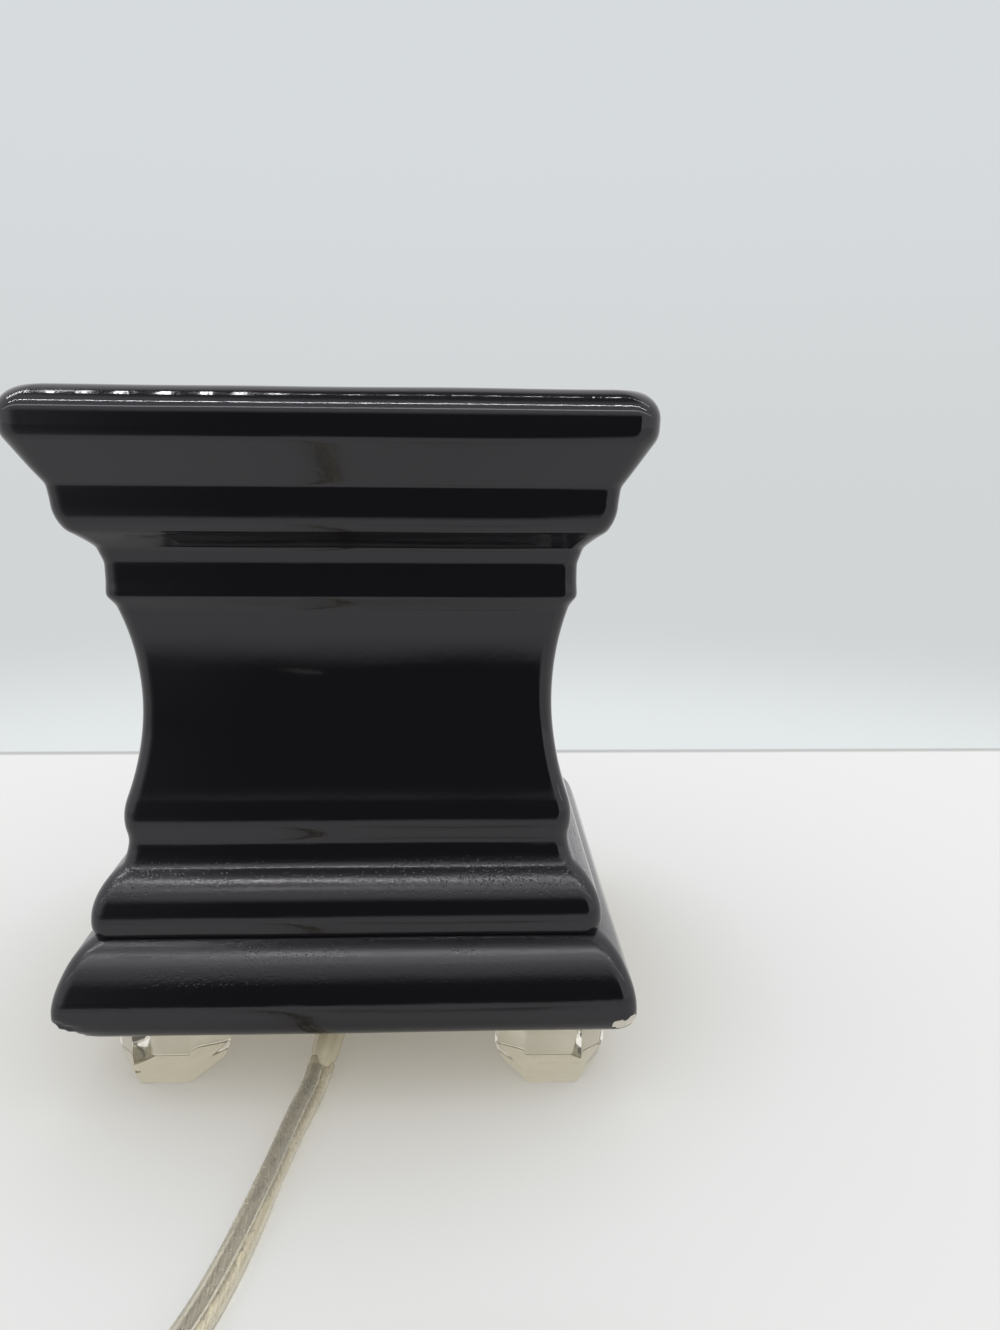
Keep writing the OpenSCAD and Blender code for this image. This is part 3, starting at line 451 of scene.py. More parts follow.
acrylic = clear_material("clear_acrylic", acrylic_tone, 0.95, 1.49, 0.01, 0.06, 160.0, 0.00002)
glue_clear = clear_material("clear_glue", glue_tone, 0.35, 1.5, 0.08, 0.2, 400.0, 0.0001)
foot_angles = polygon_angles(6, 5, 7, math.radians(0.95))
glue_angles = round_angles(48)
glue_rings = []
for foot_name in ("foot_front_left", "foot_front_right", "foot_rear_left", "foot_rear_right"):
    foot_low, foot_high = corners_of(foot_name)
    foot_middle = (foot_low + foot_high) / 2
    foot_middle[:2] += foot_set.get(foot_name, (0.0, 0.0))
    foot_half = (foot_high - foot_low)[1] / 2 - 0.1
    foot_top = foot_high[2]
    foot_lean = foot_bevel / foot_bevel_h
    foot_rows = traced([
        (foot_half - foot_bevel - foot_edge, 0.0, 0.0),
        (foot_half - foot_bevel + foot_lean * foot_edge, foot_edge, 0.22 * foot_edge),
        (foot_half - foot_lean * foot_edge, foot_bevel_h - foot_edge, 0.0),
        (foot_half, foot_bevel_h + foot_edge, 0.08 * foot_edge),
        (foot_half, foot_top - foot_edge, 0.0), (foot_half - foot_edge, foot_top, 0.29 * foot_edge),
    ], foot_step)
    foot_rows = np.column_stack([foot_rows, np.full(len(foot_rows), foot_corner)])
    foot_rings = rings_of(foot_rows, foot_angles, 6) @ np.array([[0, 1, 0], [-1, 0, 0], [0, 0, 1]])
    foot_rings += np.array([foot_middle[0], foot_middle[1], 0.0])
    foot = loft(foot_name + "_knob", foot_rings, acrylic, flat_over=30)
    seat(foot, "root", "clear_acrylic", foot_name)
    spread = glue_reach + 0.5 * np.sin(3 * glue_angles + foot_middle[0])
    spread += 0.3 * np.sin(5 * glue_angles + foot_middle[1])
    glue_low = foot_top - glue_sunk
    glue_rows = np.array([
        (0.94, glue_low), (1.0, glue_low + 0.2), (1.0, pedestal_foot - 0.1), (0.97, pedestal_foot)])
    glue_rings.append(np.concatenate([
        glue_rows[:, 0, None, None] * polar(spread, glue_angles) + foot_middle[:2],
        np.repeat(glue_rows[:, 1, None, None], len(glue_angles), axis=1)], axis=2))
glue = loft("foot_glue_spots", glue_rings, glue_clear)
seat(glue, "root", "clear_glue", "foot_glue")

# Lampholder, its metal parts and the wires
# A black moulded holder with a grooved barrel stands on the casting's floor. A thread-pressed shell and a
# sprung brass tongue sit in it, with brass terminals and two covered wires underneath.


def turned(outline, around, turn=None):
    """Rings of a solid of revolution about the upright axis, from rows of (radius, height). Where a
    thread is given as (depth, pitch), the radius swells and shrinks once for each pitch that a point
    climbs, and once for each turn, so the crest runs as a helix."""
    theta = round_angles(around)
    radius, up = outline[:, 0, None] + 0 * theta, outline[:, 1, None] + 0 * theta
    if turn is not None:
        depth, pitch = turn
        radius = radius + depth * np.cos(2 * np.pi * up / pitch - theta)
    return np.stack([radius * np.cos(theta), radius * np.sin(theta), up], axis=2)


def moulded_grain():
    """Moulded plastic: a fine grain, and a slow drift in shade and gloss."""
    group, given, out = effect_group(
        "moulded_grain", {"Grain": 900.0}, ("Height", "Tone", "Roughness"))
    spot = add_node(group, "TexCoord").outputs["Object"]
    drift = noise(group, spot, 90.0, 4.0)
    feed(group, out, {
        "Height": noise(group, spot, given.outputs["Grain"], 2.0),
        "Tone": between(group, drift, 0.3, 0.7),
        "Roughness": between(group, drift, 0.35, 0.75, 0.32, 0.52)})
    return group


def handled_metal():
    """Pressed metal: fine drawing lines, dull fingered patches and a drift in tone."""
    group, given, out = effect_group("handled_metal", {"Dullness": 0.2}, ("Height", "Tone", "Roughness"))
    spot = add_node(group, "TexCoord").outputs["Object"]
    drawn = add_node(group, "Mapping", {"Vector": spot, "Scale": (500.0, 500.0, 4000.0)}).outputs[0]
    patches = noise(group, spot, 240.0, 4.0)
    dull = times(group, between(group, patches, 0.4, 0.7), given.outputs["Dullness"])
    feed(group, out, {
        "Height": noise(group, drawn, 1.0, 2.0),
        "Tone": between(group, patches, 0.3, 0.7),
        "Roughness": plus(group, dull, 0.18)})
    return group


def drifting_material(name, group, setting, tones, height, values):
    """A material that drifts between two near tones, with the gloss and the fine relief of a group."""
    material, shader = shader_of(name, values)
    tree = material.node_tree
    finish = add_node(tree, "Group", setting, node_tree=group)
    tone = mixed_colour(tree, finish.outputs["Tone"], *tones)
    feed(tree, shader, {"Base Color": tone, "Roughness": finish.outputs["Roughness"]})
    bumped(tree, shader, finish.outputs["Height"], height)
    return material


def moulded_material(name, dark, light, grain, height, values=()):
    """Plastic that drifts between two near shades, over a moulded grain."""
    return drifting_material(name, grain_group, {"Grain": grain}, (dark, light), height, dict(values))


def metal_material(name, bright, dulled, dullness):
    """Metal that drifts between a bright and a dulled tone, with drawing lines across it."""
    setting, values = {"Dullness": dullness}, {"Metallic": 1.0}
    return drifting_material(name, metal_group, setting, (bright, dulled), drawn_height, values)


def dress(node, material):
    """Gives a carried-over solid its finished material."""
    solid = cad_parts[node]
    solid.data.materials.clear()
    solid.data.materials.append(material)


grain_group = moulded_grain()
metal_group = handled_metal()
drawn_height = 0.000004
phenolic = moulded_material("phenolic", (0.024, 0.021, 0.019, 1), (0.04, 0.036, 0.032, 1), 1400.0, 0.00001)
shell_metal = metal_material("shell_metal", (0.8, 0.79, 0.75, 1), (0.6, 0.59, 0.55, 1), 0.25)
brass = metal_material("brass", (0.78, 0.58, 0.26, 1), (0.58, 0.4, 0.17, 1), 0.3)
screw_steel = metal_material("screw_steel", (0.64, 0.64, 0.62, 1), (0.46, 0.46, 0.45, 1), 0.25)
wire_cover = moulded_material(
    "wire_cover", (0.55, 0.53, 0.44, 1), (0.68, 0.65, 0.55, 1), 1600.0, 0.000006,
    {"Subsurface Weight": 0.2})

holder_low, holder_high = corners_of("lampholder")
holder_floor = holder_low[2] + 5.0
flange_top = holder_floor + 4.0
barrel_r = 13.5
socket_r = 9.3
socket_z = holder_floor + 7.5
holder_rows = traced([
    (16.7, holder_low[2], 0), (16.7, holder_floor, 0), (24.4, holder_floor, 0),
    (25.0, holder_floor + 0.6, 0.17), (25.0, flange_top - 1.2, 0), (23.8, flange_top, 0.35),
    (15.0, flange_top, 0), (barrel_r, flange_top + 1.5, -0.44), (barrel_r, holder_high[2] - 10.0, 0),
    (12.9, holder_high[2] - 9.0, 0), (12.9, holder_high[2] - 7.0, 0), (barrel_r, holder_high[2] - 6.0, 0),
    (barrel_r, holder_high[2] - 1.2, 0), (12.3, holder_high[2], 0.35), (socket_r + 0.5, holder_high[2], 0),
    (socket_r, holder_high[2] - 0.5, 0), (socket_r, socket_z, 0), (6.2, socket_z, 0),
], 1.0)
holder = loft("lampholder_body", turned(holder_rows, 72), phenolic, flat_over=35)
seat(holder, "root", "phenolic", "lampholder")

shell_low, shell_high = corners_of("screw_shell")
shell_out, shell_in = 9.06, 8.74
thread_pitch, thread_depth = 2.8, 0.13
shell_up = np.arange(shell_low[2], shell_high[2] + 0.01, 0.35)
shell_rows = np.concatenate([
    np.column_stack([np.full(len(shell_up), shell_out), shell_up]),
    np.column_stack([np.full(len(shell_up), shell_in), shell_up[::-1]]),
])
shell_rings = turned(shell_rows, 72, (thread_depth, thread_pitch))
shell = loft("screw_shell_pressed", shell_rings, shell_metal, closed_rows=True)
seat(shell, "root", "shell_metal", "screw_shell")
dress("centre_contact", brass)
dress("terminal_screws", brass)
dress("lead_wires", wire_cover)

# Wiring cap and its screws
# A shallow black cap with a fine moulded texture closes the wiring under the base. Two zinc-plated screws
# in sunk holes clamp it and the holder to the casting.


def eased(node, width):
    """Rounds the edges of a carried-over solid with live modifiers: its points are merged, flat faces
    joined, and each edge sharper than 30 degrees bevelled."""
    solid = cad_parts[node]
    weld = solid.modifiers.new("weld", "WELD")
    weld.merge_threshold = 0.00002
    planes = solid.modifiers.new("planes", "DECIMATE")
    planes.decimate_type = "DISSOLVE"
    planes.angle_limit = math.radians(1)
    bevel = solid.modifiers.new("bevel", "BEVEL")
    bevel.width = width * MM
    bevel.segments = 3
    bevel.limit_method = "ANGLE"
    bevel.angle_limit = math.radians(30)
    bevel.harden_normals = False


cap_plastic = moulded_material(
    "cap_plastic", (0.022, 0.021, 0.023, 1), (0.034, 0.033, 0.035, 1), 1800.0, 0.00003)
dress("wiring_cap", cap_plastic)
eased("wiring_cap", 0.4)
dress("clamp_screws", screw_steel)

# Bulb
# A small clear globe lamp: blown glass on a threaded cap with a black glass insulator and a solder tip,
# holding a glass stem with two wires and a fine coiled filament.
bulb_low, bulb_high = corners_of("bulb_glass")
bulb_r = (bulb_high - bulb_low)[0] / 2
bulb_wall = 0.8
neck_r = 7.7
neck_top = bulb_low[2] + 6.0
globe_mid = bulb_high[2] - bulb_r
shoulder = math.radians(40)


def globe_rows(inset):
    """Rows of the globe's outline, drawn in by the wall: a straight neck, a soft shoulder that follows
    half a cosine out to the globe, and the globe's circle up to near its crown."""
    low_r, low_z = neck_r - inset, neck_top
    globe = bulb_r - inset
    join_r, join_z = globe * math.cos(shoulder), globe_mid - globe * math.sin(shoulder)
    rise = np.linspace(0, 1, 14)[1:-1]
    neck = np.array([(low_r, bulb_low[2]), (low_r, low_z)])
    curve = np.column_stack([low_r + (join_r - low_r) * rise**1.35, low_z + (join_z - low_z) * rise])
    angle = np.linspace(-shoulder, math.radians(88), 40)
    return np.concatenate([neck, curve, polar(globe, angle) + (0.0, globe_mid)])


lamp_glass = clear_material("lamp_glass", (0.97, 0.98, 0.98, 1), 1.0, 1.5, 0.0, 0.015, 60.0, 0.00002)
globe_inside = globe_rows(bulb_wall)[::-1]
globe_crown = np.array([(0.05, bulb_high[2]), (0.05, bulb_high[2] - bulb_wall)])
globe_loop = np.concatenate([globe_rows(0.0), globe_crown, globe_inside])
globe = loft("bulb_globe", turned(globe_loop, 64), lamp_glass, closed_rows=True)
seat(globe, "bulb", "bulb_glass", "bulb_glass")

cap_low, cap_high = corners_of("bulb_cap")
cap_r = (cap_high - cap_low)[0] / 2
cap_up = np.arange(cap_low[2] + 0.8, cap_high[2] - 1.6, 0.3)
cap_rows = np.concatenate([
    [(cap_r - 0.9, cap_low[2])], np.column_stack([np.full(len(cap_up), cap_r - 0.15), cap_up]),
    [(cap_r - 0.25, cap_high[2] - 1.2), (cap_r - 0.25, cap_high[2] - 0.2), (cap_r - 0.45, cap_high[2]),
     (cap_r - 0.65, cap_high[2] - 0.3), (cap_r - 0.65, cap_low[2] + 1.0), (cap_r - 1.2, cap_low[2] + 0.4)]])
cap_rings = turned(cap_rows, 72, (thread_depth, thread_pitch))
bulb_cap = loft("bulb_cap_thread", cap_rings, shell_metal, closed_rows=True)
seat(bulb_cap, "bulb", "shell_metal", "bulb_cap")

filament_low, filament_high = corners_of("bulb_filament")
filament_r = (filament_high - filament_low)[0] / 2 - 0.3
filament_foot = filament_low[2] + 0.3
coil_turns, coil_reach, thread_r = 46, 0.24, 0.06


def swept(centres, sections, first=None, last=None, roll=0.0):
    """Rings of a tube: each row of sections lies square to the path's own way, its first axis level and
    its second upright, both turned about the way by the roll at that point."""
    way = np.gradient(centres, axis=0)
    if first is not None:
        way[0] = first
    if last is not None:
        way[-1] = last
    way /= np.linalg.norm(way, axis=1, keepdims=True)
    side = np.cross(way, (0.0, 0.0, 1.0))
    side /= np.linalg.norm(side, axis=1, keepdims=True)
    up = np.cross(side, way)
    cosine, sine = np.cos(roll) + np.zeros(len(centres)), np.sin(roll) + np.zeros(len(centres))
    across = sections[..., 0] * cosine[:, None] - sections[..., 1] * sine[:, None]
    upright = sections[..., 0] * sine[:, None] + sections[..., 1] * cosine[:, None]
    rings = centres[:, None, :] + across[..., None] * side[:, None, :] + upright[..., None] * up[:, None, :]
    return rings[:, ::-1]


def ring_section(radius, around):
    """A circle of points as a section."""
    return polar(radius, round_angles(around))


filament_at = np.linspace(0.03, 0.97, coil_turns * 12)
bow_angle = np.pi * filament_at
wind = 2 * np.pi * coil_turns * filament_at
filament_path = np.column_stack([
    (filament_r + coil_reach * np.cos(wind)) * np.cos(bow_angle), coil_reach * np.sin(wind),
    filament_foot + (filament_r + coil_reach * np.cos(wind)) * np.sin(bow_angle)])
lamp_wire = metal_material("lamp_wire", (0.46, 0.45, 0.43, 1), (0.3, 0.29, 0.28, 1), 0.3)
filament_rings = swept(filament_path, ring_section(thread_r, 5))
filament = loft("bulb_filament_coil", filament_rings, lamp_wire)
seat(filament, "bulb", "lamp_wire", "bulb_filament")
black_glass = moulded_material(
    "black_glass", (0.012, 0.012, 0.013, 1), (0.022, 0.022, 0.024, 1), 500.0, 0.00001,
    {"Coat Weight": 0.6})
solder = metal_material("solder", (0.66, 0.65, 0.61, 1), (0.48, 0.47, 0.44, 1), 0.35)
dress("bulb_insulator", black_glass)
dress("bulb_tip", solder)
dress("bulb_stem", lamp_glass)
dress("bulb_leads", lamp_wire)

# Wax dish
# A square dish of the same clay and glaze that lifts out of the rim. Its flange rests on the ledge inside,
# and its sloping well holds the wax over the bulb.
dish_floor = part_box("wax_dish")[0].z / MM
dish_outside = [
    (22.0, 0.0, 0.0), (29.8, 0.0, 0.0), (34.8, 5.0, 1.46), (41.8, 18.0, 0.0), (47.5, 18.0, 0.0),
    (47.5, 20.4, 0.0), (45.9, 22.0, 0.47), (37.8, 22.0, 0.0), (30.8, 9.0, 0.0), (25.8, 4.0, -1.46),
    (20.0, 4.0, 0.0),
]
dish_step, dish_pad = 0.6, 12
dish_rows = traced(dish_outside, dish_step)
dish_long = np.pad(dish_rows, ((dish_pad, dish_pad), (0, 0)), mode="edge")
dish_rows = softened(dish_long, dish_step, dish_step)[dish_pad:-dish_pad]
dish_corner = np.minimum(chamber_corner, 0.42 * dish_rows[:, 0])
dish_loop = np.column_stack([dish_rows[:, 0], dish_rows[:, 1] + dish_floor, dish_corner])
dish_angles = polygon_angles(4, 14, 16, math.radians(20))
dish_rings = rings_of(dish_loop, dish_angles, 4)
dish_wave = 0.1 * waves(dish_rings, 34.0, 31)
inner_part = (np.arange(len(dish_rings)) > len(dish_rings) // 2)[:, None]
dish_rings += outward(dish_rings) * (dish_wave * inner_part)[:, :, None]
dish_glaze = glaze_material("dish_glaze", kiln_group, glaze_black, pale_clay)
dish = loft("wax_dish_glazed", dish_rings, dish_glaze)
for dish_mark in ("bare", "pitted", "dull"):
    mark(dish, dish_mark, np.zeros(len(dish.data.vertices)))
seat(dish, "dish", "dish_glaze", "wax_dish")

# Lead and its strain relief
# Flat clear twin lead: two twisted stranded wires, one tinned and one pale, in one clear vinyl cover. A
# clear tapered sleeve holds it where it leaves the cap, and it runs over the table to the switch.
cord_wide, cord_web = 2.8, 1.05
wire_apart = 1.0
strand_r, strand_lobe, strand_lay = 0.64, 0.09, 14.0
bush_near, bush_far = np.array([-2.58, -18.62, 11.5]), np.array([-6.7, -48.4, 3.4])
bush_r1, bush_r2, bush_end_round = 3.4, 2.85, 1.2
# Each point's x, y and z, and the turn of the lead's flat side about its own line, in degrees
lead_route = [
    (-6.5, -47, 3.8, 30), (-7.3, -52.5, 2.5, 48), (-8.3, -58.5, 2.5, 50), (-9.7, -67, 2.8, 60),
    (-11.4, -79, 2.9, 65), (-13.3, -91, 2.6, 52), (-15.5, -102, 2.2, 36), (-18.2, -112, 2.2, 36),
    (-23, -125, 2.6, 50), (-30.5, -138, 2.9, 70), (-39.5, -151, 3, 85), (-48, -164, 3, 85),
    (-54.5, -178, 3, 80), (-57, -192, 3, 80), (-53.6, -205.5, 3.2, 75), (-46, -215.6, 4.5, 45),
    (-37, -220.5, 6.6, 12), (-29, -221, 7, 0),
]


def eased_route(route, steps):
    """A smooth line through the points of a route and their turns: between two points, the cubic whose
    slope at each is half the step from the point before to the point after."""
    points = np.array(route, float)
    slope = np.gradient(points, axis=0)
    share = np.linspace(0, 1, steps, endpoint=False)[None, :, None]
    start, end = points[:-1, None], points[1:, None]
    leave, arrive = slope[:-1, None], slope[1:, None]
    cubic = (start * (1 + 2 * share) * (1 - share) ** 2 + end * share**2 * (3 - 2 * share)
             + leave * share * (1 - share) ** 2 + arrive * share**2 * (share - 1))
    return np.concatenate([cubic.reshape(-1, points.shape[1]), points[-1:]])


def twin_section(around):
    """The lead's section: its radius goes from the web's half-thickness across to the half-width along,
    with the square of the cosine, which gives two round lobes."""
    angle = round_angles(around)
    return polar(cord_web + (cord_wide - cord_web) * np.cos(angle) ** 2, angle)


def cord_cover(name, line, around, leave):
    """The cover of a stretch of lead, over its points and turns. It leaves the given way and ends along x."""
    sections = np.repeat(twin_section(around)[None], len(line), axis=0)
    rings = swept(line[:, :3], sections, leave, (1, 0, 0), np.radians(line[:, 3]))
    return loft(name, rings, clear_vinyl)


def strand_rings(line, side, lobe, around, lobes=7):
    """Rings of one stranded wire, beside the lead's own line: a circle with seven lobes that turn once in
    each length of lay, so the strands wind about each other."""
    step = np.linalg.norm(np.diff(line[:, :3], axis=0), axis=1)
    along = np.concatenate([[0], np.cumsum(step)])
    angle = round_angles(around)[None, :]
    radius = strand_r + lobe * np.cos(lobes * (angle - 2 * np.pi * along[:, None] / strand_lay))
    sections = polar(radius, angle) + (side * wire_apart, 0.0)
    return swept(line[:, :3], sections, roll=np.radians(line[:, 3]))


def wire_pair(name, line, lobe, around):
    """The two wires of a stretch of lead, a tinned and a pale one, inside its cover."""
    made = []
    for side, kind, metal in ((1, "tinned", tinned_wire), (-1, "pale", pale_wire)):
        wire = loft(name + "_" + kind, strand_rings(line, side, lobe, around), metal)
        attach(wire, "root")
        made.append(wire)
    return made


vinyl_tone = (0.93, 0.89, 0.77, 1.0)
clear_vinyl = clear_material("clear_vinyl", vinyl_tone, 0.78, 1.5, 0.2, 0.32, 300.0, 0.000002)
sleeve_vinyl = clear_material("sleeve_vinyl", (0.98, 0.91, 0.69, 1.0), 0.42, 1.5, 0.1, 0.22, 300.0, 0.000004)
tinned_wire = metal_material("tinned_wire", (0.44, 0.4, 0.33, 1), (0.27, 0.25, 0.2, 1), 0.4)
pale_wire = metal_material("pale_wire", (0.9, 0.86, 0.76, 1), (0.78, 0.73, 0.6, 1), 0.4)

bush_way = (bush_far - bush_near) / np.linalg.norm(bush_far - bush_near)
bush_at = np.array([0.0, 0.3, 0.6, 0.8, 0.85, 0.9, 0.94, 0.97, 0.99, 1.0])
bush_radius = bush_r1 + (bush_r2 - bush_r1) * bush_at
bush_radius -= bush_end_round * smooth_step(bush_at, 0.82, 1.02) ** 2
bush_line = bush_near + bush_at[:, None] * (bush_far - bush_near)
bush_rings = swept(bush_line, bush_radius[:, None, None] * ring_section(1.0, 40)[None])
bush = loft("cord_bush_sleeve", bush_rings, sleeve_vinyl)
seat(bush, "root", "clear_vinyl", "cord_bush")

lead_line = eased_route(lead_route, 10)
lead = cord_cover("cord_lead_cover", lead_line, 28, bush_way)
seat(lead, "root", "clear_vinyl", "cord_lead")
lead_start = np.array(lead_route[0][:3])
inner_start = bush_near + np.linspace(0, 1, 120, endpoint=False)[:, None] * (lead_start - bush_near)
inner_line = np.column_stack([inner_start, np.full(len(inner_start), lead_route[0][3])])
strand_line = np.concatenate([inner_line, eased_route(lead_route, 44)])
lead_wires = wire_pair("lead_wire", strand_line, strand_lobe, 28)

# Coil, tie and plug
# The rest of the lead leaves the switch, is wound into a neat coil of two layers held by a thin strip, and
# ends in a moulded clear plug with two stamped brass blades that lies on the coil.
feed_route = [
    (29, -221, 7, 0), (37, -220.5, 6.6, 20), (46, -216.6, 4.8, 50), (53, -209, 3.9, 80),
    (57.5, -198.5, 3.7, 90), (59.6, -186, 3.7, 90), (60, -178, 3.7, 90),
]
tail_route = [
    (-20, -172, 9.9, 90), (-19.8, -177, 10.4, 90), (-18.3, -183, 13.2, 90), (-14.5, -189, 16.4, 85),
    (-8.5, -194.2, 17.9, 65), (-1, -197.3, 18.3, 25), (8, -198, 18.3, 0),
]
coil_middle = np.array([20.0, -166.0])
coil_out_r, coil_step, coil_layer_turns = 40.0, 4.2, 3.25
coil_low, coil_rise, coil_climb = 3.7, 6.2, 0.2
coil_rings = 40


def coil_points(turns):
    """Points of the coil at so many turns: it spirals in at a steady rate on the lower layer, climbs to
    the upper one along half a cosine where the spiral reverses, and spirals out again."""
    from_middle = turns - coil_layer_turns
    radius = coil_out_r - coil_step * (coil_layer_turns - np.abs(from_middle))
    share = np.clip(from_middle / coil_climb + 0.5, 0, 1)
    up = coil_low + coil_rise * (1 - np.cos(np.pi * share)) / 2
    across = coil_middle + polar(radius, 2 * np.pi * turns)
    return np.column_stack([across, up, np.full(len(turns), 90.0)])


coil_line = coil_points(np.linspace(0, 2 * coil_layer_turns, int(2 * coil_layer_turns * coil_rings) + 1))
stored_line = np.concatenate([
    eased_route(feed_route + [tuple(coil_line[0])], 8)[:-1], coil_line[:-1],
    eased_route([tuple(coil_line[-1])] + tail_route, 8)])
stored = cord_cover("cord_stored_cover", stored_line, 18, (1, 0, 0))
seat(stored, "root", "clear_vinyl", "cord_feed", "cord_coil", "cord_tail")
fine_at = np.linspace(0, len(stored_line) - 1, 3 * len(stored_line))
fine_line = np.column_stack([
    np.interp(fine_at, np.arange(len(stored_line)), stored_line[:, k]) for k in range(4)])
stored_wires = wire_pair("stored_wire", fine_line, 0.0, 12)

tie_plastic = moulded_material(
    "tie_plastic", (0.03, 0.03, 0.033, 1), (0.055, 0.055, 0.06, 1), 1500.0, 0.00002)
dress("coil_tie", tie_plastic)
eased("coil_tie", 0.15)

plug_low, plug_high = corners_of("plug_body")
plug_middle = (plug_low + plug_high) / 2
plug_length = plug_high[0] - plug_low[0]
plug_tail = 14.0
plug_at = np.linspace(0, plug_length, 110)
plug_half = np.interp(plug_at, (0, plug_tail, plug_tail + 16, plug_length), (4.0, 8.5, 10.5, 9.5))
plug_thick = np.interp(plug_at, (0, plug_tail + 2, plug_length), (3.0, 5.5, 5.5))
tail_ribs = 0.45 * np.maximum(0, np.cos(2 * np.pi * plug_at / 3.0)) * (plug_at < plug_tail - 1)
grip_ribs = 0.35 * np.maximum(0, np.cos(2 * np.pi * plug_at / 2.4)) * (np.abs(plug_at - plug_tail - 9) < 6)
end_round = 1 - 0.1 * (smooth_step(plug_at, 2, 0) + smooth_step(plug_at, plug_length - 1.5, plug_length))
plug_angle = round_angles(64)
squareness = 0.45
corner_cos = np.sign(np.cos(plug_angle)) * np.abs(np.cos(plug_angle)) ** squareness
corner_sin = np.sign(np.sin(plug_angle)) * np.abs(np.sin(plug_angle)) ** squareness
plug_sections = np.stack([
    ((plug_half - tail_ribs) * end_round)[:, None] * corner_cos,
    ((plug_thick - tail_ribs - grip_ribs) * end_round)[:, None] * corner_sin], axis=2)
plug_line = np.stack(np.broadcast_arrays(plug_low[0] + plug_at, plug_middle[1], plug_middle[2]), axis=1)
plug_vinyl = clear_material("plug_vinyl", (0.93, 0.9, 0.74, 1.0), 0.6, 1.5, 0.12, 0.26, 300.0, 0.00002)
plug = loft("plug_moulded", swept(plug_line, plug_sections), plug_vinyl)
seat(plug, "root", "plug_vinyl", "plug_body")
blade_brass = metal_material("blade_brass", (0.8, 0.64, 0.34, 1), (0.66, 0.5, 0.24, 1), 0.2)
dress("plug_blades", blade_brass)
eased("plug_blades", 0.2)

# Switch
# A thumbwheel switch moulded in ivory plastic in two halves, screwed together from below. The grooved wheel
# turns on a steel pin between two brass strips.
switch_shell = moulded_material(
    "switch_shell", (0.62, 0.58, 0.44, 1), (0.74, 0.7, 0.56, 1), 1100.0, 0.00001,
    {"Subsurface Weight": 0.1})
wheel_plastic = moulded_material(
    "wheel_plastic", (0.11, 0.095, 0.075, 1), (0.17, 0.15, 0.12, 1), 1400.0, 0.00001)
for switch_half in ("switch_base", "switch_cover"):
    dress(switch_half, switch_shell)
    eased(switch_half, 0.9)
dress("switch_wheel", wheel_plastic)
eased("switch_wheel", 0.15)
dress("wheel_pin", screw_steel)
dress("switch_contacts", brass)
dress("switch_screw", screw_steel)


switch_pieces = [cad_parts[name] for name in (
    "switch_base", "switch_cover", "switch_wheel", "wheel_pin", "switch_contacts", "switch_screw")]
plug_pieces = [plug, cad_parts["plug_blades"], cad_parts["coil_tie"]]

# These lie in front of the picture, and the glaze mirrors none of them
for stored_piece in stored_wires + switch_pieces + [stored] + plug_pieces:
    stored_piece.visible_glossy = False

# Studio
# A white table top with its far edge against a pale wall, a soft bright sky for light, two rows of small
# lamps overhead, a bright strip, and a card in front that stands for the dark end of the room. Only
# glossy reflections see the lamps, the strip and the card.
floor_reach, floor_fade = 1.6, (0.32, 0.85)
floor_end, floor_line = 0.177, 0.0055
floor_tone, line_tone = (0.8, 0.81, 0.8, 1.0), (0.56, 0.57, 0.56, 1.0)
# The table's own glow, which camera, mirror and glass rays see, lightens the object's shadow on it as painted
# light; near the base the glow is darker and warmer, a painted shadow.
shadow_glow_near, far_glow = (0.7, 0.64, 0.52, 1.0), (1.0, 1.0, 0.98, 1.0)
floor_lift = 0.28


def flat_mesh(name, corners):
    """Flat four-sided faces from an array of corners, in metres, four to a face."""
    mesh = bpy.data.meshes.new(name)
    corners = np.asarray(corners, float).reshape(-1, 3)
    mesh.from_pydata(corners.tolist(), [], np.arange(len(corners)).reshape(-1, 4).tolist())
    made = bpy.data.objects.new(name, mesh)
    bpy.context.scene.collection.objects.link(made)
    return made


def rectangle(first, last):
    """Corners of a level or upright rectangle, from one corner to the opposite one."""
    (x0, y0, z0), (x1, y1, z1) = first, last
    return [(x0, y0, z0), (x1, y0, z0), (x1, y1, z1), (x0, y1, z1)]


def glow_material(name, strength, tone=(1.0, 1.0, 1.0, 1.0)):
    """A plain glowing or black card."""
    material = bpy.data.materials.new(name)
    material.use_nodes = True
    tree = material.node_tree
    tree.nodes.remove(tree.nodes["Principled BSDF"])
    glow = add_node(tree, "Emission", {"Color": tone, "Strength": strength})
    surface(tree, glow)
    return material


def only_in_gloss(card):
    """Lets only glossy reflections see a card."""
    card.visible_camera = False
    card.visible_diffuse = False
    card.visible_transmission = False
    card.visible_shadow = False
    card.visible_volume_scatter = False


floor = flat_mesh("floor", rectangle((-floor_reach, -floor_reach, 0), (floor_reach, floor_reach, 0)))
floor_material, floor_shader = shader_of(
    "floor", {"Base Color": floor_tone, "Roughness": 0.9, "Specular IOR Level": 0.0})
floor_tree = floor_material.node_tree
floor_spot = add_node(floor_tree, "TexCoord").outputs["Object"]
floor_away = add_node(floor_tree, "VectorMath", {0: floor_spot}, operation="LENGTH").outputs["Value"]
floor_back = add_node(floor_tree, "SeparateXYZ", {0: floor_spot}).outputs["Y"]
floor_over = between(floor_tree, floor_back, floor_end - 0.0007, floor_end + 0.0007)
floor_gone = maths(floor_tree, "MAXIMUM", between(floor_tree, floor_away, *floor_fade), floor_over)
at_line = between(floor_tree, floor_back, floor_end - floor_line, floor_end - floor_line / 2)
floor_colour = mixed_colour(floor_tree, at_line, floor_tone, line_tone)
feed(floor_tree, floor_shader, {"Base Color": floor_colour})
floor_path = add_node(floor_tree, "LightPath")
in_mirror, in_glass = (floor_path.outputs[ray] for ray in ("Is Glossy Ray", "Is Transmission Ray"))
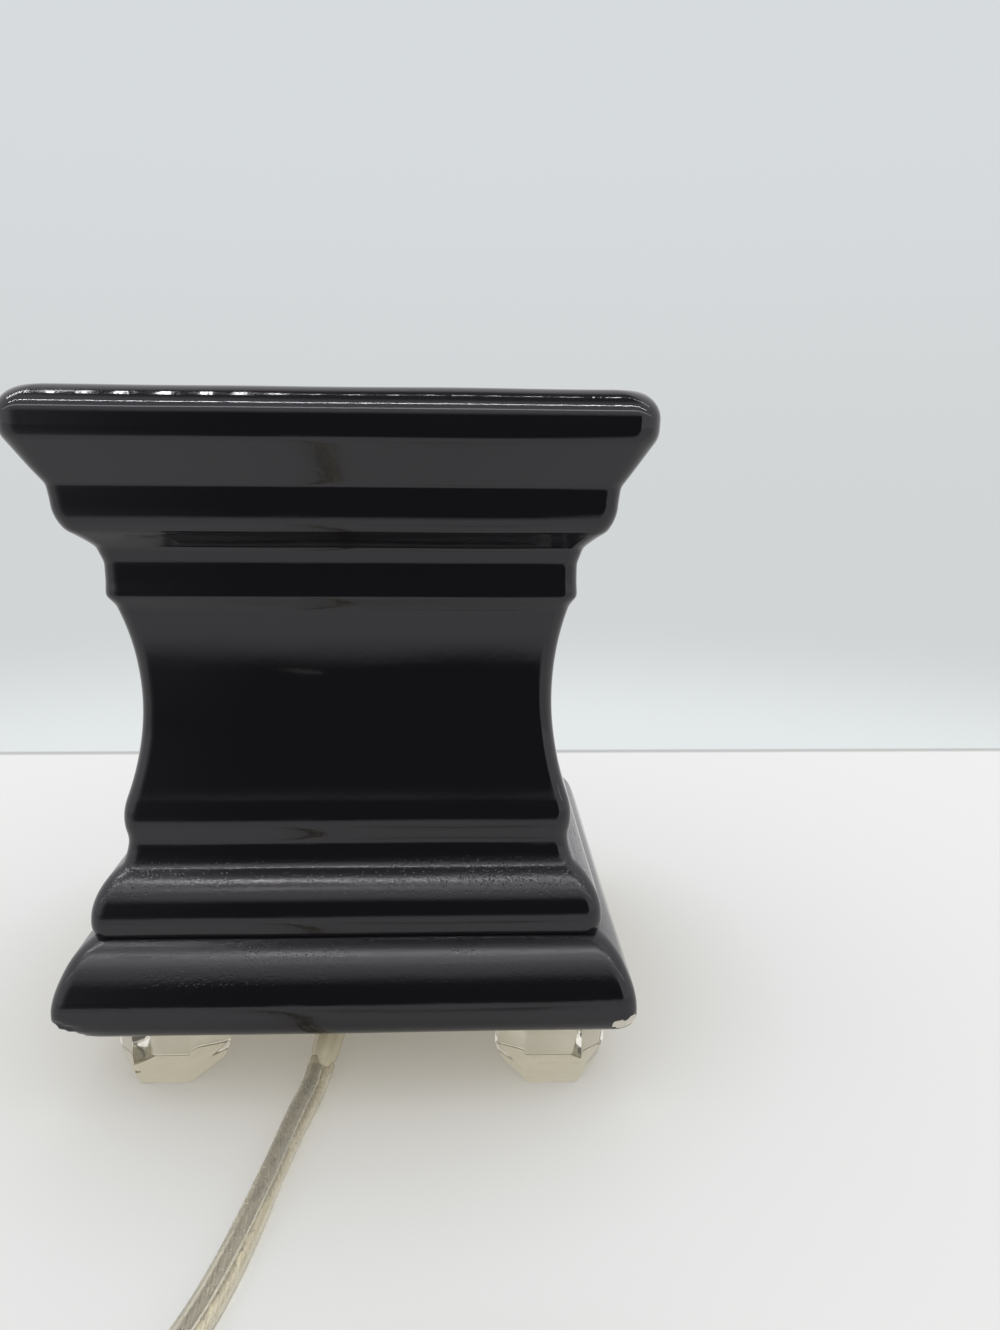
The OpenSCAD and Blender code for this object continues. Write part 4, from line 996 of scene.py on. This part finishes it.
floor_seen = plus(floor_tree, floor_path.outputs["Is Camera Ray"], plus(floor_tree, in_mirror, in_glass))
floor_own = times(floor_tree, maths(floor_tree, "MINIMUM", floor_seen, 1.0), floor_lift)
# Painted shadow: the glow goes from a darker, warmer tone within 0.05 of the middle to the plain tone past
# 0.11.
floor_glow_shaded = mixed_colour(floor_tree, between(floor_tree, floor_away, 0.05, 0.11), shadow_glow_near, far_glow)
floor_glow = add_node(floor_tree, "Emission", {
    "Color": mixed_colour(floor_tree, at_line, floor_glow_shaded, line_tone)}).outputs[0]
floor_lit = add_node(floor_tree, "MixShader", {0: floor_own, 1: floor_shader.outputs[0], 2: floor_glow})
floor_clear = add_node(floor_tree, "BsdfTransparent").outputs[0]
floor_mix = add_node(floor_tree, "MixShader", {0: floor_gone, 1: floor_lit.outputs[0], 2: floor_clear})
surface(floor_tree, floor_mix)
floor.data.materials.append(floor_material)

sky_low, sky_high = (1.0, 1.0, 1.0, 1.0), (1.06, 1.06, 1.07, 1.0)
gloss_low, gloss_high = (0.95, 0.95, 0.97, 1.0), (0.18, 0.185, 0.2, 1.0)
wall_foot, wall_low, wall_high = (0.78, 0.815, 0.82, 1.0), (0.64, 0.665, 0.67, 1.0), (0.68, 0.71, 0.73, 1.0)
world = bpy.data.worlds.new("studio")
world.use_nodes = True
bpy.context.scene.world = world
sky = world.node_tree
sky_way = add_node(sky, "TexCoord").outputs["Generated"]
sky_up = add_node(sky, "SeparateXYZ", {0: sky_way}).outputs["Z"]
sky_path = add_node(sky, "LightPath")
sky_soft = mixed_colour(sky, between(sky, sky_up, 0.05, 0.95), sky_low, sky_high)
sky_gloss = mixed_colour(sky, between(sky, sky_up, 0.85, 0.97), gloss_low, gloss_high)
wall_up = mixed_colour(sky, between(sky, sky_up, -0.12, 0.3), wall_low, wall_high)
sky_wall = mixed_colour(sky, between(sky, sky_up, -0.29, -0.18), wall_foot, wall_up)
sky_lit = mixed_colour(sky, sky_path.outputs["Is Glossy Ray"], sky_soft, sky_gloss)
sky_all = mixed_colour(sky, sky_path.outputs["Is Camera Ray"], sky_lit, sky_wall)
feed(sky, sky.nodes["Background"], {"Color": sky_all})

lamp_pitch, lamp_up, lamp_count = 0.0167, 0.44, 46
lamp_across = lamp_pitch * (np.arange(lamp_count) - (lamp_count - 1) / 2)
lamp_square = np.array([(-1, -1, 0), (-1, 1, 0), (1, 1, 0), (1, -1, 0)])
lamp_long = 0.006 + 0.034 * smooth_step(lamp_across, -0.045, -0.075)
# Name, place along y, half-widths of each lamp along x and y, and strength
lamp_rows = [("lamps_back", -0.044, 0.0016, lamp_long, 36.0), ("lamps_front", -0.286, 0.0064, 0.003, 80.0)]
for lamp_row, lamp_y, half_x, half_y, strength in lamp_rows:
    lamp_middles = np.stack(np.broadcast_arrays(lamp_across, lamp_y, lamp_up), axis=1)
    lamp_half = np.stack(np.broadcast_arrays(half_x, half_y, np.zeros(lamp_count)), axis=1)
    lamps = flat_mesh(lamp_row, lamp_middles[:, None, :] + lamp_square * lamp_half[:, None, :])
    lamps.data.materials.append(glow_material(lamp_row, strength))
    only_in_gloss(lamps)
strip_y, strip_low, strip_high, strip_wide = -0.346, 0.312, 0.336, 0.9
strip = flat_mesh("light_strip", rectangle(
    (-strip_wide, strip_y, strip_low), (strip_wide, strip_y, strip_high)))
strip.data.materials.append(glow_material("strip_glow", 5.0, (0.93, 0.97, 1.0, 1.0)))
only_in_gloss(strip)

card_near, card_far, card_top, card_wide, card_up = -0.11, -1.0, 0.65, 1.4, 0.007
card_slant = 0.457
card_corner = (-card_wide, card_far, card_up)
card_level = rectangle(card_corner, (card_wide, card_near, card_up))
card = flat_mesh("dark_card", card_level + rectangle(card_corner, (card_wide, card_far, card_top)))
card_lit, card_dark = (0.77, 0.77, 0.76, 1.0), (0.06, 0.06, 0.06, 1.0)
card_material = glow_material("dark_card", 1.0)
card_tree = card_material.node_tree
card_spot = add_node(card_tree, "SeparateXYZ", {0: add_node(card_tree, "TexCoord").outputs["Object"]})
card_left = maths(card_tree, "DIVIDE", card_spot.outputs["X"], card_spot.outputs["Y"])
card_right = plus(card_tree, card_spot.outputs["X"], times(card_tree, card_spot.outputs["Y"], card_slant))
card_side = times(card_tree, between(card_tree, card_left, 0.2, 1.28, 1.0, 0.0),
                  between(card_tree, card_right, -0.05, -0.005, 1.0, 0.0))
card_deep = times(card_tree, between(card_tree, card_spot.outputs["Y"], -0.215, -0.16, 1.0, 0.0),
                  between(card_tree, card_spot.outputs["Z"], 0.28, 0.6, 1.0, 0.0))
card_share = times(card_tree, card_deep, card_side)
# Painted reflection: the card's level part glows the lit table's tone beyond the lead's near end, so
# reflections show an evenly lit table over the shadows of the lead and coil.
card_flat = times(card_tree, between(card_tree, card_spot.outputs["Z"], 0.008, 0.009, 1.0, 0.0),
                  between(card_tree, card_spot.outputs["Y"], -0.135, -0.115, 1.0, 0.0))
card_glow = card_tree.nodes["Emission"]
feed(card_tree, card_glow, {"Color": mixed_colour(card_tree, card_share, card_lit, card_dark)})
card_shows = maths(card_tree, "MAXIMUM", card_share, card_flat)
card_clear = add_node(card_tree, "BsdfTransparent").outputs[0]
card_mix = add_node(card_tree, "MixShader", {0: card_shows, 1: card_clear, 2: card_glow.outputs[0]})
surface(card_tree, card_mix)
card.data.materials.append(card_material)
only_in_gloss(card)

camera_at = np.array([21.74, -242.64, 135.44]) * MM
camera_yaw, camera_pitch, camera_roll = math.radians(2.44), math.radians(-13.22), math.radians(0.55)
picture_focus, picture_high, sensor = 1044.07, 1330, 36.0
camera = bpy.data.objects.new("camera", bpy.data.cameras.new("camera"))
camera.data.sensor_width = sensor
camera.data.lens = picture_focus * sensor / picture_high
camera.data.clip_start = 0.01
camera.matrix_world = (
    Matrix.Translation(camera_at) @ Matrix.Rotation(-camera_yaw, 4, "Z")
    @ Matrix.Rotation(math.pi / 2 + camera_pitch, 4, "X") @ Matrix.Rotation(camera_roll, 4, "Z"))
bpy.context.scene.collection.objects.link(camera)
bpy.context.scene.camera = camera
bpy.context.scene.view_settings.view_transform = "Standard"
